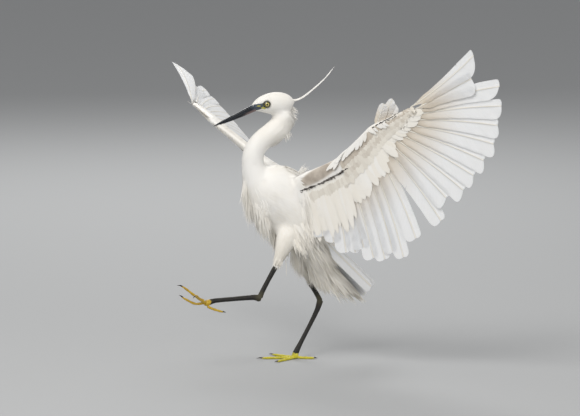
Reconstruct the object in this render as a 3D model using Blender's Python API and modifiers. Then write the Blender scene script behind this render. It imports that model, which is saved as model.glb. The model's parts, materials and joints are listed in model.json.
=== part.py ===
"""A little egret at life size, striding with both wings thrown up, standing on its right foot.

Metres, +Z up. The bird faces -X, its left side is -Y, and the floor is z = 0. The origin is on the floor
under the middle of the whole bird. Every place is read off one drawing of the bird, seen from its left
front: how far across the drawing, how high over the floor line, and how far out from the midline.
"""

import math

import bmesh
import bpy
from mathutils import Matrix, Vector

MM = 0.001
GAP = 0.3 * MM  # what two touching pieces keep between them
CLEAR = 0.4 * MM  # how much a cutter is swollen past the piece it stands for

# The drawing: how it is turned and tilted, and where its middle lies
DRAWING_TURN = math.radians(-20)
DRAWING_TILT = math.radians(8)
DRAWING_DISTANCE = 7.05
FLOOR_LINE_DROP = 0.266  # the floor line lies this far below the drawing's middle

# The bird's driving sizes
SHOULDER_OUT = 34 * MM
EYE_RADIUS = 6.5 * MM  # the whole ball, of which the lids leave a good half bare
EYE_OUT = 8.4 * MM
ARM_REACH = 179 * MM
HAND_LENGTH = 88 * MM
ELBOW_SAG = 47 * MM
BONE_END_THICKNESS = 2.4  # of the arm's sheets along their rear edge, mm

# Feathers, in mm
VANE_THICKNESS = 0.9
VANE_CROWN = 0.9  # a vane is ridged this much along its shaft
TERTIAL_RISE = 1.6  # the inner feathers lie over the next ones
PRIMARY_LENGTHS = (154, 135, 187, 190, 187, 189, 183, 181, 183, 170)  # outermost first
PRIMARY_NOTCHES = (0.86, 0.85, 0.84, 0.83, 0.8, 0.77, 0.74, 0.7, 0.62)  # innermost first
PRIMARY_CLEAR = 1.4  # between the hand's rear edge and its feathers
SECONDARY_LENGTHS = (186, 178, 185, 191, 189, 173, 166, 154, 128)  # wrist to elbow
SECONDARY_NOTCH = 0.9
TERTIAL_LENGTHS = (150, 162, 150, 124)
TERTIAL_NOTCH = 0.82
ARM_FEATHER_CLEAR = 0.9
ALULA_LENGTHS = (62, 58)
ALULA_SPREADS = (0.3, 0.16)  # how far each turns forward off the hand's line
ALULA_NOTCH = 0.6
TAIL_NOTCH = 0.86
TAIL_THICKNESS = 1.4

# The feathered arm's sections: share of the way out, leading margin, trailing margin, thickness in front
ARM_STATIONS = (
    (-0.02, -10, 66, 22),
    (0.12, -6, 70, 22),
    (0.28, -1, 76, 19),
    (0.48, 4, 78, 17),
    (0.74, -2, 60, 15),
    (0.97, -9, 40, 14),
)
HAND_STATIONS = ((0.03, -10, 36, 13), (0.5, -9, 27, 10), (1.0, -6, 10, 6))
ELBOW_STATION = 3  # where the upper arm ends and the forearm starts

# Sections along each part: across, height, half its depth, half its width
TRUNK = (
    (-71, 311, 10, 9),
    (-64, 308, 28, 24),
    (-47, 302, 45, 36),
    (-27, 290, 55, 42),
    (-3, 269, 57, 45),
    (17, 243, 52, 44),
    (34, 217, 41, 38),
    (47, 197, 28, 29),
    (56, 181, 15, 18),
    (61, 172, 5, 8),
)
NECK = (
    (-43, 287, 35, 33),
    (-56, 311, 28, 27),
    (-65, 339, 21, 20),
    (-64, 362, 19.5, 18),
    (-52, 382, 19, 17.5),
    (-32, 396, 20.5, 18),
    (-15, 412, 21.5, 18),
    (-8, 434, 19, 16),
)
NECK_CUTS = (0, 2, 4, 7)  # the sections where the neck's three lengths part
HEAD = (
    (8, 450, 4, 4),
    (3, 450, 11, 9),
    (-6, 450, 17.5, 13.5),
    (-19, 449.5, 20.5, 15.5),
    (-33, 449, 20.5, 14.5),
    (-46, 448, 17, 11.5),
    (-57, 445, 12, 8.5),
    (-65, 441, 7.5, 6),
)
BILL = (
    (-61, 442, 6.6, 5.4),
    (-82, 432, 5.6, 4.4),
    (-104, 422, 4.4, 3.3),
    (-124, 413.5, 2.2, 1.8),
    (-134, 409, 0.5, 0.5),
)
TAIL_COVERTS = ((30, 196, 26, 22), (48, 172, 21, 20), (70, 147, 13, 15), (90, 125, 6, 9), (100, 114, 1.5, 3))

# Legs: across, height, half its depth, half its width, out from the midline
LEFT_THIGH = (
    (5, 240, 25, 15, -22),
    (-5, 214, 21, 15, -30),
    (-14, 192, 14, 11, -33),
    (-21, 174, 8.5, 7.5, -34),
    (-25, 164, 5.2, 5, -34),
)
LEFT_SHANK = (
    (-25.3, 163, 4.6, 4.4, -34),
    (-38, 140, 4.1, 3.7, -35),
    (-49, 118.5, 4.3, 3.7, -36),
    (-53.3, 110.5, 4.2, 3.6, -36),
)
LEFT_TARSUS = (
    (-51.5, 107.5, 4.5, 4, -36),
    (-55, 108, 5.8, 4.6, -36),
    (-64, 109.5, 4.6, 3.6, -36),
    (-101, 106.5, 3.8, 3.1, -36),
    (-130, 104, 4.0, 3.3, -36),
    (-141, 101, 5.0, 4.2, -36),
    (-146, 99.8, 5.4, 5, -36.5),
    (-149, 100, 4.2, 4.4, -37),
)
RIGHT_THIGH = (
    (16, 222, 25, 16, 20),
    (23, 190, 20, 14, 25),
    (30, 161, 12.5, 10, 24),
    (34, 143, 7.5, 7, 22),
    (36, 134, 5.2, 5, 21),
)
RIGHT_SHANK = ((36.3, 133, 4.6, 4.4, 21), (43.5, 121, 4.1, 3.7, 19), (49, 111.5, 4.3, 3.7, 17))
RIGHT_TARSUS = (
    (54, 105.5, 4.4, 4, 16),
    (52, 102, 5.8, 4.6, 16),
    (48, 89, 4.6, 3.6, 14),
    (35, 62, 3.8, 3.1, 10),
    (19, 31, 4.0, 3.3, 5),
    (12.5, 18, 5.0, 4.2, 2),
    (9.8, 12, 5.4, 5.2, 1),
    (8.6, 7, 6.2, 6.4, 1),
    (8.4, 3.5, 5.2, 5.4, 1),
)

# Toes of the raised left foot: places along each, from its root to the claw's tip
LEFT_TOES = {
    "inner": ((-151, 99.5, -33), (-166, 98.5, -27), (-182, 106, -19), (-195, 114, -14)),
    "middle": ((-150.5, 104, -37), (-162, 109, -37), (-186, 127, -35), (-198, 131, -33)),
    "outer": ((-149.3, 100.8, -40.6), (-158, 106, -53), (-164, 112, -72), (-170, 108, -86)),
    "hind": ((-144.5, 93.5, -39), (-134, 89, -41), (-119, 84.5, -43), (-112, 83, -44)),
}
# Toes of the standing right foot: length with the claw, and how far each turns out from straight ahead
RIGHT_TOES = {"inner": (56, -30), "middle": (68, 16), "outer": (60, 60), "hind": (40, 205)}
TOE_RADII = (1.8, 3.0, 2.6, 0.8)
TOE_START = 5.2 * MM  # out from the joint's middle
TOE_HEIGHTS = ((0, 3), (0.33, 2.4), (0.8, 2.1), (1, 0.65))  # share of a toe's length, its middle's height
EIGHT_SIDES_FLAT_DOWN = (22.5, 382.5)

PLUME = ((0, 456), (8, 455), (22, 460), (42, 475.5), (61, 493), (78, 515))
PLUME_RADII = (1.1, 0.35)
BREAST_PLUMES = (
    (-82, 322, 3, 9),
    (-83, 302, 6, 13),
    (-82, 283, 6, 14),
    (-76, 266, 5, 10),
    (-67, 250, 1.5, 4),
)
TAIL_BASE = (48, 200)
TAIL_ROOT = (62, 187)
TAIL_TIPS = ((146, 133), (134, 112))  # of the outermost feathers and of the middle ones
TAIL_SPREAD = (-26, -16, -5, 5, 16, 26)  # the tips' places out from the midline
TAIL_ROOT_WIDTH = 25.2

FEATHER_WHITE = (0.86, 0.85, 0.82)
BLACK_HORN = (0.02, 0.022, 0.028)
BLACK_SCALE = (0.025, 0.025, 0.022)
YELLOW_SCALE = (0.72, 0.52, 0.03)
EYE_YELLOW = (0.75, 0.62, 0.08)


def drawing_axes():
    """The drawing's right, away and up directions."""
    right = Vector((math.cos(DRAWING_TURN), math.sin(DRAWING_TURN), 0))
    level = Vector((-math.sin(DRAWING_TURN), math.cos(DRAWING_TURN), 0))
    away = level * math.cos(DRAWING_TILT) - Vector((0, 0, math.sin(DRAWING_TILT)))
    up = level * math.sin(DRAWING_TILT) + Vector((0, 0, math.cos(DRAWING_TILT)))
    return right, away, up


RIGHTWARD, AWAY, UPWARD = drawing_axes()
MIDDLE = Vector((0, 0, FLOOR_LINE_DROP / math.cos(DRAWING_TILT)))
EYE_POINT = MIDDLE - AWAY * DRAWING_DISTANCE


def seen(across, height, out=0.0):
    """The point that shows there in the drawing (mm) and lies that far (mm) from the bird's midline."""
    level = height * MM - FLOOR_LINE_DROP
    ray = AWAY * DRAWING_DISTANCE + RIGHTWARD * (across * MM) + UPWARD * level
    share = (out * MM - EYE_POINT.y) / ray.y
    return EYE_POINT + ray * share


def aim(side, sweep, lift):
    """A unit direction out to one side (+1 right, -1 left), swept back and lifted by angles in degrees."""
    level = math.cos(math.radians(lift))
    back = math.sin(math.radians(sweep)) * level
    outward = math.cos(math.radians(sweep)) * level * side
    return Vector((back, outward, math.sin(math.radians(lift))))


def turned(first, last, share):
    """The unit direction that share of the way round from first to last."""
    return first.slerp(last, share)


def make_material(name, colour, roughness):
    """A plain finish of one colour."""
    material = bpy.data.materials.new(name)
    material.use_nodes = True
    shader = material.node_tree.nodes["Principled BSDF"]
    shader.inputs["Base Color"].default_value = (*colour, 1)
    shader.inputs["Roughness"].default_value = roughness
    shader.inputs["Metallic"].default_value = 0
    return material


def new_collection(name):
    """An empty collection in the scene."""
    collection = bpy.data.collections.new(name)
    bpy.context.scene.collection.children.link(collection)
    return collection


def add_object(name, mesh_builder, collection, colour, roughness=0.8):
    """Turns a bmesh into a named object with its own material."""
    mesh = bpy.data.meshes.new(name)
    mesh_builder.to_mesh(mesh)
    mesh_builder.free()
    mesh.shade_smooth()
    mesh.materials.append(make_material(name, colour, roughness))
    item = bpy.data.objects.new(name, mesh)
    collection.objects.link(item)
    return item


def bridge(shape, rings):
    """Joins rings of points into one closed body with flat ends."""
    loops = [[shape.verts.new(point) for point in ring] for ring in rings]
    for near, far in zip(loops, loops[1:]):
        for i in range(len(near)):
            j = (i + 1) % len(near)
            shape.faces.new((near[i], near[j], far[j], far[i]))
    shape.faces.new(loops[0])
    shape.faces.new(list(reversed(loops[-1])))
    bmesh.ops.recalc_face_normals(shape, faces=shape.faces)


def smooth_keys(keys, steps):
    """Points on a smooth curve through the keys, which are tuples of numbers."""
    places = [Vector(key) for key in keys]
    ends = [places[0] * 2 - places[1], *places, places[-1] * 2 - places[-2]]
    result = []
    for before, start, end, after in zip(ends, ends[1:], ends[2:], ends[3:]):
        for step in range(steps):
            t = step / steps
            pull = (end - before) * 0.5
            push = (after - start) * 0.5
            blend = start * (2 * t**3 - 3 * t**2 + 1) + end * (3 * t**2 - 2 * t**3)
            result.append(blend + pull * (t**3 - 2 * t**2 + t) + push * (t**3 - t**2))
    result.append(places[-1])
    return result


def round_rings(centres, depths, widths, sideways, sides, arc=(0, 360), flat_floor=False):
    """Oval rings square to the line through the centres. An arc under 360 gives half sections."""
    rings = []
    whole = arc[1] - arc[0] == 360
    for i, centre in enumerate(centres):
        before = centres[max(i - 1, 0)]
        after = centres[min(i + 1, len(centres) - 1)]
        along = (after - before).normalized()
        across = (sideways - along * sideways.dot(along)).normalized()
        over = across.cross(along)
        ring = []
        for k in range(sides if whole else sides + 1):
            angle = math.radians(arc[0] + (arc[1] - arc[0]) * k / sides)
            reach = across * math.cos(angle) * widths[i]
            point = centre + reach + over * math.sin(angle) * depths[i]
            if flat_floor:
                point.z = max(point.z, 0)
            ring.append(point)
        rings.append(ring)
    return rings


def loft_rings(keys, steps=2, sides=14, ends=(0.0, 0.0), arc=(0, 360)):
    """Rings through sections given as across, height, half depth, half width and, maybe, side."""
    rows = smooth_keys([(*key, 0) if len(key) == 4 else key for key in keys], steps)
    centres = [seen(row[0], row[1], row[4]) for row in rows]
    depths = [row[2] * MM for row in rows]
    widths = [row[3] * MM for row in rows]
    first = (centres[1] - centres[0]).normalized()
    last = (centres[-1] - centres[-2]).normalized()
    centres[0] = centres[0] + first * ends[0]
    centres[-1] = centres[-1] - last * ends[1]
    return round_rings(centres, depths, widths, Vector((0, 1, 0)), sides, arc)


def body_loft(keys, steps=2, sides=14, swell=0.0, **options):
    """A soft solid through those rings, swollen by the same amount all over if asked."""
    shape = bmesh.new()
    bridge(shape, loft_rings(keys, steps, sides, **options))
    shape.normal_update()
    places = [v.co + v.normal * swell * v.calc_shell_factor() for v in shape.verts]
    for vertex, place in zip(shape.verts, places):
        vertex.co = place
    return shape


def make_cutter(name, shape):
    """A hidden solid that shapes another piece."""
    cutter = add_object(name, shape, cutters, FEATHER_WHITE)
    cutter.hide_render = True
    cutter.display_type = "WIRE"
    return cutter


def cut_away(item, cutter):
    """Takes the cutter's space out of a piece."""
    cut = item.modifiers.new(f"clear_of_{cutter.name}", "BOOLEAN")
    cut.operation = "DIFFERENCE"
    cut.solver = "EXACT"
    cut.object = cutter


def make_body():
    """Trunk, the three lengths of the neck, and the coverts over and under the tail's root."""
    add_object("trunk", body_loft(TRUNK, sides=16), bird, FEATHER_WHITE)
    trunk_space = make_cutter("trunk_space", body_loft(TRUNK, sides=16, swell=CLEAR))
    lower, _, upper = make_neck()
    cut_away(lower, trunk_space)
    return trunk_space, upper


def make_neck():
    """The neck, drawn whole and parted into three lengths by thin gaps square to it."""
    steps = 3
    rings = loft_rings(NECK, steps, 14)
    lengths = []
    for name, first, last in zip(("lower", "middle", "upper"), NECK_CUTS, NECK_CUTS[1:]):
        own = [[point.copy() for point in ring] for ring in rings[first * steps : last * steps + 1]]
        for end, inward in ((0, 1), (-1, -2)):
            square = Vector((0, 1, 0)).cross(own[end][1] - own[end][-1]).cross(Vector((0, 1, 0)))
            normal = square.cross(Vector((0, 1, 0))).normalized()
            toward = middle_of(own[inward]) - middle_of(own[end])
            normal *= math.copysign(GAP / 2, normal.dot(toward))
            own[end] = [point + normal for point in own[end]]
        shape = bmesh.new()
        bridge(shape, own)
        lengths.append(add_object(f"neck_{name}", shape, bird, FEATHER_WHITE))
    return lengths


def middle_of(points):
    """The mean of some points."""
    return sum(points, Vector()) / len(points)


def make_head(neck_upper):
    """Head with its two eye sockets, the eyes, and the two halves of the bill."""
    head = add_object("head", body_loft(HEAD, sides=16), bird, FEATHER_WHITE)
    head_space = make_cutter("head_space", body_loft(HEAD, sides=16, swell=CLEAR))
    cut_away(neck_upper, head_space)
    for side, name in ((-1, "left"), (1, "right")):
        centre = eye_centre(side)
        add_object(f"eye_{name}", ball(centre, EYE_RADIUS), bird, EYE_YELLOW, 0.1)
        cut_away(head, make_cutter(f"eye_{name}_space", ball(centre, EYE_RADIUS + GAP)))
    for name, arc, shift in (("bill_upper", (0, 180), GAP / 2), ("bill_lower", (180, 360), -GAP / 2)):
        shape = body_loft(BILL, 2, 8, arc=arc)
        bmesh.ops.translate(shape, verts=shape.verts, vec=Vector((0, 0, shift)))
        half = add_object(name, shape, bird, BLACK_HORN, 0.3)
        cut_away(half, head_space)


def eye_centre(side):
    """The middle of an eyeball. The left eye is placed by the drawing and the right one mirrors it."""
    left = seen(-40.5, 447.5, -EYE_OUT / MM)
    return Vector((left.x, left.y * -side, left.z))


def ball(centre, radius):
    """A closed round ball."""
    shape = bmesh.new()
    bmesh.ops.create_uvsphere(shape, u_segments=12, v_segments=8, radius=radius)
    bmesh.ops.translate(shape, verts=shape.verts, vec=centre)
    return shape


def plume_path():
    """The nape plume's line, rising off the back of the crown."""
    return [seen(*point) for point in smooth_keys(PLUME, 3)]


def make_plumes():
    """The long nape plume and the hanging plumes of the breast."""
    path = plume_path()
    thick, thin = PLUME_RADII
    radii = [(thick + (thin - thick) * i / (len(path) - 1)) * MM for i in range(len(path))]
    shape = bmesh.new()
    bridge(shape, round_rings(path, radii, radii, Vector((0, 1, 0)), 6))
    plume = add_object("nape_plume", shape, bird, FEATHER_WHITE)
    cut_away(plume, bpy.data.objects["head_space"])
    bib = add_object("breast_plumes", body_loft(BREAST_PLUMES), bird, FEATHER_WHITE)
    cut_away(bib, bpy.data.objects["trunk_space"])
    cut_away(bib, make_cutter("neck_space", body_loft(NECK, 3, swell=CLEAR)))


def make_leg(name, thigh, shank, tarsus, trunk_space):
    """A feathered thigh, the bare shank and the long tarsus with its knob at the ankle."""
    upper = add_object(f"{name}_thigh", body_loft(thigh, sides=12), bird, FEATHER_WHITE)
    cut_away(upper, trunk_space)
    make_cutter(f"{name}_thigh_space", body_loft(thigh, sides=12, swell=CLEAR))
    lower = add_object(f"{name}_shank", body_loft(shank, 2, 8, ends=(GAP, 0)), bird, BLACK_SCALE, 0.5)
    cut_away(lower, make_cutter(f"{name}_tarsus_space", body_loft(tarsus, 2, 8, swell=CLEAR)))
    add_object(f"{name}_tarsus", body_loft(tarsus, 2, 8), bird, BLACK_SCALE, 0.5)


def make_toe(name, path, on_floor):
    """One toe with its claw, swollen a little at its pads. On the floor its underside is flat."""
    path = smooth_keys(path, 2)
    last = len(path) - 1
    radii = [row[0] * MM for row in smooth_keys([(r, 0, 0) for r in TOE_RADII], 2)]
    radii = [radii[min(round(i * (len(radii) - 1) / last), len(radii) - 1)] for i in range(last + 1)]
    shape = bmesh.new()
    sideways = Vector((0, 0, 1)).cross(path[-1] - path[0]).normalized()
    bridge(shape, round_rings(path, radii, radii, sideways, 8, EIGHT_SIDES_FLAT_DOWN, on_floor))
    return add_object(name, shape, bird, YELLOW_SCALE, 0.5)


def make_left_foot():
    """The raised foot, its toes half spread."""
    for toe, places in LEFT_TOES.items():
        item = make_toe(f"left_toe_{toe}", [seen(*place) for place in places], False)
        cut_away(item, bpy.data.objects["left_tarsus_space"])


def make_right_foot():
    """The standing foot: four toes lying flat on the floor, each a little apart at the joint."""
    joint = seen(*RIGHT_TARSUS[-1][:2], RIGHT_TARSUS[-1][4])
    for toe, (length, turn) in RIGHT_TOES.items():
        heading = math.radians(turn)
        along = Vector((-math.cos(heading), math.sin(heading), 0))
        places = []
        for share, height in TOE_HEIGHTS:
            flat = joint + along * (TOE_START + (length * MM - TOE_START) * share)
            places.append(Vector((flat.x, flat.y, height * MM)))
        item = make_toe(f"right_toe_{toe}", places, True)
        cut_away(item, bpy.data.objects["right_tarsus_space"])


def make_wing_frame(side, reach, hand, lead, inner, rear, gather):
    """Where a wing's bones and edges run. Directions are (sweep, lift) pairs in degrees.

    gather over 1 draws the primaries towards the outermost one, and under 1 towards the innermost.
    """
    wing = {"reach": aim(side, *reach), "hand": aim(side, *hand), "gather": gather}
    wing["lead"], wing["inner"], wing["rear"] = (aim(side, *pair) for pair in (lead, inner, rear))
    left_shoulder = seen(14, 315, -SHOULDER_OUT / MM)
    wing["shoulder"] = Vector((left_shoulder.x, SHOULDER_OUT * side, left_shoulder.z))
    wing["wrist"] = wing["shoulder"] + wing["reach"] * ARM_REACH
    wing["finger"] = wing["wrist"] + wing["hand"] * HAND_LENGTH
    wing["top"] = wing["rear"].cross(wing["reach"]).normalized() * side
    wing["hand_top"] = wing["inner"].cross(wing["hand"]).normalized() * side
    return wing


def arm_edge(wing, share, margin):
    """A point on the arm's sheet: share of the way to the wrist, margin (mm) behind the straight line."""
    line = wing["shoulder"].lerp(wing["wrist"], share)
    behind = turned(wing["rear"], wing["inner"], share**2)
    return line + behind * margin * MM


def hand_edge(wing, share, margin):
    """A point on the hand's sheet: share of the way to the finger's end, margin (mm) behind the bones."""
    line = wing["wrist"].lerp(wing["finger"], share)
    behind = turned(wing["inner"], wing["lead"], share * 0.3)
    return line + behind * margin * MM


def sheet_section(front, rear, top, thick_front, thick_rear):
    """The section of a feathered arm: a full round leading edge that thins to the coverts' rear edge."""
    outline = ((0, 0.0), (0.06, 0.42), (0.25, 0.5), (0.6, 0.3), (1, 0.0))
    upper = []
    lower = []
    for share, swell in outline:
        middle = front.lerp(rear, share)
        half = thick_front * swell * MM + thick_rear * 0.5 * share * MM
        upper.append(middle + top * half)
        lower.append(middle - top * half)
    return [*upper, *reversed(lower[1:])]


def make_sheet(name, sections):
    """One length of the feathered arm, through its sections."""
    shape = bmesh.new()
    bridge(shape, sections)
    return add_object(name, shape, bird, FEATHER_WHITE)


def arm_sections(wing, edge, stations, top):
    """The sections of the feathered arm or hand, whose edges lie where the edge function puts them."""
    sections = []
    for share, lead, trail, thick in stations:
        front = edge(wing, share, lead)
        rear = edge(wing, share, trail)
        sections.append(sheet_section(front, rear, top, thick, BONE_END_THICKNESS))
    return sections


def make_arm(name, wing, trunk_space):
    """Upper arm, forearm and hand, parted by thin gaps."""
    arm = arm_sections(wing, arm_edge, ARM_STATIONS, wing["top"])
    hand = arm_sections(wing, hand_edge, HAND_STATIONS, wing["hand_top"])
    upper = make_sheet(f"{name}_upper_arm", arm[: ELBOW_STATION + 1])
    cut_away(upper, trunk_space)
    elbow = [point + wing["reach"] * GAP for point in arm[ELBOW_STATION]]
    make_sheet(f"{name}_forearm", [elbow, *arm[ELBOW_STATION + 1 :]])
    wrist = [point + wing["reach"] * GAP for point in arm[-1]]
    make_sheet(f"{name}_hand", [wrist, *hand])


def feather_fan(roots, tips, notches, top, spare=(9, 9), steps=3):
    """An open sheet of feathers side by side: one vane for each tip, split from its neighbours past a notch.

    spare is how far (mm) the first and the last vane may spread past their own shafts' ends.
    """
    shape = bmesh.new()
    joined = []
    for root, end in zip(roots, edge_ends(roots, tips, notches, spare)):
        joined.append([shape.verts.new(root.lerp(end, step / steps)) for step in range(steps + 1)])
    for i, tip in enumerate(tips):
        add_vane(shape, joined[i], joined[i + 1], tip, top)
    bmesh.ops.recalc_face_normals(shape, faces=shape.faces)
    return shape


def edge_ends(roots, tips, notches, spare, outer_share=0.7):
    """Where each line between two vanes ends: at its notch, or at the outer vane's shoulder."""
    last = len(tips) - 1
    ends = [roots[0].lerp(past_tip(tips[0], tips[1], spare[0]), outer_share)]
    for i, notch in enumerate(notches):
        ends.append(roots[i + 1].lerp(tips[i].lerp(tips[i + 1], 0.5), notch))
    ends.append(roots[-1].lerp(past_tip(tips[last], tips[last - 1], spare[1]), outer_share))
    return ends


def past_tip(tip, neighbour, reach):
    """The point beyond a tip, away from its neighbour's."""
    return tip + (tip - neighbour).normalized() * reach * MM


def add_vane(shape, left, right, tip, top):
    """One feather's faces: rows between its two edges, then a rounded end that narrows to the tip."""
    rows = []
    for k, (near, far) in enumerate(zip(left, right)):
        ridge = VANE_CROWN if k else 0
        middle = near.co.lerp(far.co, 0.5) + top * ridge * MM
        rows.append((near, shape.verts.new(middle), far))
    start = rows[-1]
    reach = tip - start[1].co
    along = reach.normalized()
    half = (start[2].co - start[0].co) * 0.5
    half -= along * half.dot(along)
    for share, width in ((0.45, 0.86), (0.8, 0.56)):
        centre = start[1].co + reach * share
        row = [centre - half * width, centre + top * 0.5 * VANE_CROWN * MM, centre + half * width]
        rows.append(tuple(shape.verts.new(point) for point in row))
    for near, far in zip(rows, rows[1:]):
        for k in range(2):
            shape.faces.new((near[k], near[k + 1], far[k + 1], far[k]))
    point = shape.verts.new(tip)
    for k in range(2):
        shape.faces.new((rows[-1][k], rows[-1][k + 1], point))


def make_fan(name, shape, thickness=VANE_THICKNESS):
    """Gives a sheet of feathers its thickness."""
    item = add_object(name, shape, bird, FEATHER_WHITE)
    wall = item.modifiers.new("vane_thickness", "SOLIDIFY")
    wall.thickness = thickness * MM
    wall.offset = 0
    return item


def spread_along(line, count):
    """Count + 1 points evenly along a line of points."""
    lengths = [0.0]
    for before, after in zip(line, line[1:]):
        lengths.append(lengths[-1] + (after - before).length)
    result = []
    for i in range(count + 1):
        goal = lengths[-1] * i / count
        k = max(j for j in range(len(line) - 1) if lengths[j] <= goal + 1e-9)
        result.append(line[k].lerp(line[k + 1], (goal - lengths[k]) / (lengths[k + 1] - lengths[k])))
    return result


def primary_fan(wing):
    """The ten feathers of the hand, from the innermost at the wrist to the outermost at the finger's end."""
    tips = []
    count = len(PRIMARY_LENGTHS)
    for i, length in enumerate(reversed(PRIMARY_LENGTHS)):
        share = 1 - i / (count - 1)
        way = turned(wing["lead"], wing["inner"], share**wing["gather"])
        tips.append(wing["wrist"].lerp(wing["finger"], 0.1 + 0.9 * (1 - share)) + way * length * MM)
    line = [hand_edge(wing, s, trail + PRIMARY_CLEAR) for s, _, trail, _ in HAND_STATIONS]
    line.append(hand_edge(wing, 1.0, HAND_STATIONS[-1][1]))
    for k in (-2, -1):
        line[k] = line[k] + wing["hand"] * 2 * PRIMARY_CLEAR * MM
    return feather_fan(spread_along(line, count), tips, PRIMARY_NOTCHES, wing["hand_top"], (2, 9))


def secondary_fan(wing):
    """The feathers of the forearm, from the elbow to the wrist."""
    count = len(SECONDARY_LENGTHS)
    tips = []
    for i, length in enumerate(reversed(SECONDARY_LENGTHS)):
        share = i / (count - 1)
        root = wing["shoulder"].lerp(wing["wrist"], 0.5 + 0.48 * share)
        sag = ELBOW_SAG * (1 - share)
        way = turned(wing["inner"], wing["rear"], (1 - share) ** 0.6)
        tips.append(root + wing["rear"] * sag + way * length * MM)
    line = [arm_edge(wing, s, trail + ARM_FEATHER_CLEAR) for s, _, trail, _ in ARM_STATIONS[ELBOW_STATION:]]
    notches = [SECONDARY_NOTCH] * (count - 1)
    return feather_fan(spread_along(line, count), tips, notches, wing["top"], (9, -2))


def tertial_fan(wing):
    """The inner feathers, which close the wing against the body."""
    count = len(TERTIAL_LENGTHS)
    tips = []
    for i, length in enumerate(reversed(TERTIAL_LENGTHS)):
        share = 0.08 + 0.3 * i / (count - 1)
        root = wing["shoulder"].lerp(wing["wrist"], share)
        tips.append(root + wing["rear"] * (length + 18) * MM)
    stations = ARM_STATIONS[1 : ELBOW_STATION + 1]
    line = [arm_edge(wing, s, trail + ARM_FEATHER_CLEAR) for s, _, trail, _ in stations]
    fan = feather_fan(spread_along(line, count), tips, [TERTIAL_NOTCH] * (count - 1), wing["top"], (9, 1))
    bmesh.ops.translate(fan, verts=fan.verts, vec=wing["top"] * TERTIAL_RISE * MM)
    return fan


def alula_fan(wing):
    """The two feathers of the thumb, standing forward of the wrist."""
    line = [hand_edge(wing, s, HAND_STATIONS[0][1] - 1.2) for s in (0.06, 0.16, 0.26)]
    tips = []
    for root, length, spread in zip(line, ALULA_LENGTHS, ALULA_SPREADS):
        tips.append(root + turned(wing["hand"], -wing["inner"], spread) * length * MM)
    return feather_fan(line, tips, [ALULA_NOTCH], wing["hand_top"])


def make_wing(name, wing, trunk_space):
    """All of one wing."""
    make_arm(name, wing, trunk_space)
    make_fan(f"{name}_primaries", primary_fan(wing))
    make_fan(f"{name}_secondaries", secondary_fan(wing))
    cut_away(make_fan(f"{name}_tertials", tertial_fan(wing)), trunk_space)
    make_fan(f"{name}_alula", alula_fan(wing))


def make_tail():
    """The coverts under the rump, and the tail: a shallow fan of feathers that droops from it."""
    coverts = add_object("tail_coverts", body_loft(TAIL_COVERTS), bird, FEATHER_WHITE)
    for name in ("trunk", "left_thigh", "right_thigh"):
        cut_away(coverts, bpy.data.objects[f"{name}_space"])
    tips = []
    for out in TAIL_SPREAD:
        place = Vector(TAIL_TIPS[1]).lerp(Vector(TAIL_TIPS[0]), abs(out) / TAIL_SPREAD[-1])
        tips.append(seen(place[0], place[1], out))
    along = (tips[2] - seen(*TAIL_BASE)).normalized()
    count = len(tips)
    roots = []
    for i in range(count + 1):
        out = TAIL_ROOT_WIDTH * (i / count - 0.5)
        roots.append(seen(*TAIL_ROOT) + Vector((0, out * MM, 0)))
    fan = feather_fan(roots, tips, [TAIL_NOTCH] * (count - 1), along.cross(Vector((0, 1, 0))))
    item = make_fan("tail", fan, TAIL_THICKNESS)
    cut_away(item, bpy.data.objects["trunk_space"])
    cut_away(item, make_cutter("tail_coverts_space", body_loft(TAIL_COVERTS, swell=CLEAR)))


def settle():
    """Moves everything so that the floor is z = 0 and the origin is under the middle of the whole bird."""
    bpy.context.view_layer.update()
    graph = bpy.context.evaluated_depsgraph_get()
    corners = []
    for item in bird.objects:
        mesh = item.evaluated_get(graph).to_mesh()
        corners += [vertex.co.copy() for vertex in mesh.vertices]
        item.evaluated_get(graph).to_mesh_clear()
    low = Vector([min(corner[k] for corner in corners) for k in range(3)])
    high = Vector([max(corner[k] for corner in corners) for k in range(3)])
    shift = Vector((-(low.x + high.x) / 2, -(low.y + high.y) / 2, -low.z))
    for item in [*bird.objects, *cutters.objects]:
        item.data.transform(Matrix.Translation(shift))
    print("moved by", [round(value, 5) for value in shift])


for old in list(bpy.data.objects):
    bpy.data.objects.remove(old, do_unlink=True)

bird = new_collection("little_egret")
cutters = new_collection("cutters")

body_space, neck_upper = make_body()
make_head(neck_upper)
make_plumes()
make_leg("left", LEFT_THIGH, LEFT_SHANK, LEFT_TARSUS, body_space)
make_leg("right", RIGHT_THIGH, RIGHT_SHANK, RIGHT_TARSUS, body_space)
make_left_foot()
make_right_foot()
# The left wing is swept back with its underside to the front; the right one reaches forward and out
left_wing = make_wing_frame(-1, (39.6, 33.5), (40.3, 27.5), (38.8, 39.5), (47.4, -42.4), (58.2, -72.2), 0.85)
right_wing = make_wing_frame(1, (-34.3, 28.5), (-6, 15), (7, 21.5), (42.5, -18), (55, -42), 0.5)
make_wing("left", left_wing, body_space)
make_wing("right", right_wing, body_space)
make_tail()
settle()
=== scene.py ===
# %% [markdown]
# # A little egret at life size
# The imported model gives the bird's true shape as plain solids. This file dresses it: one skin over all its
# flesh, a coat of small feathers over the skin, and every flight feather, scale and claw as a piece of its own.
# Everything is in metres in the model's own frame: the bird faces -X, its left side is -Y and +Z is up.

# %% The frame and the tools
import json
import math

import bmesh
import bpy
import numpy as np
from mathutils import Matrix, Vector

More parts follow.
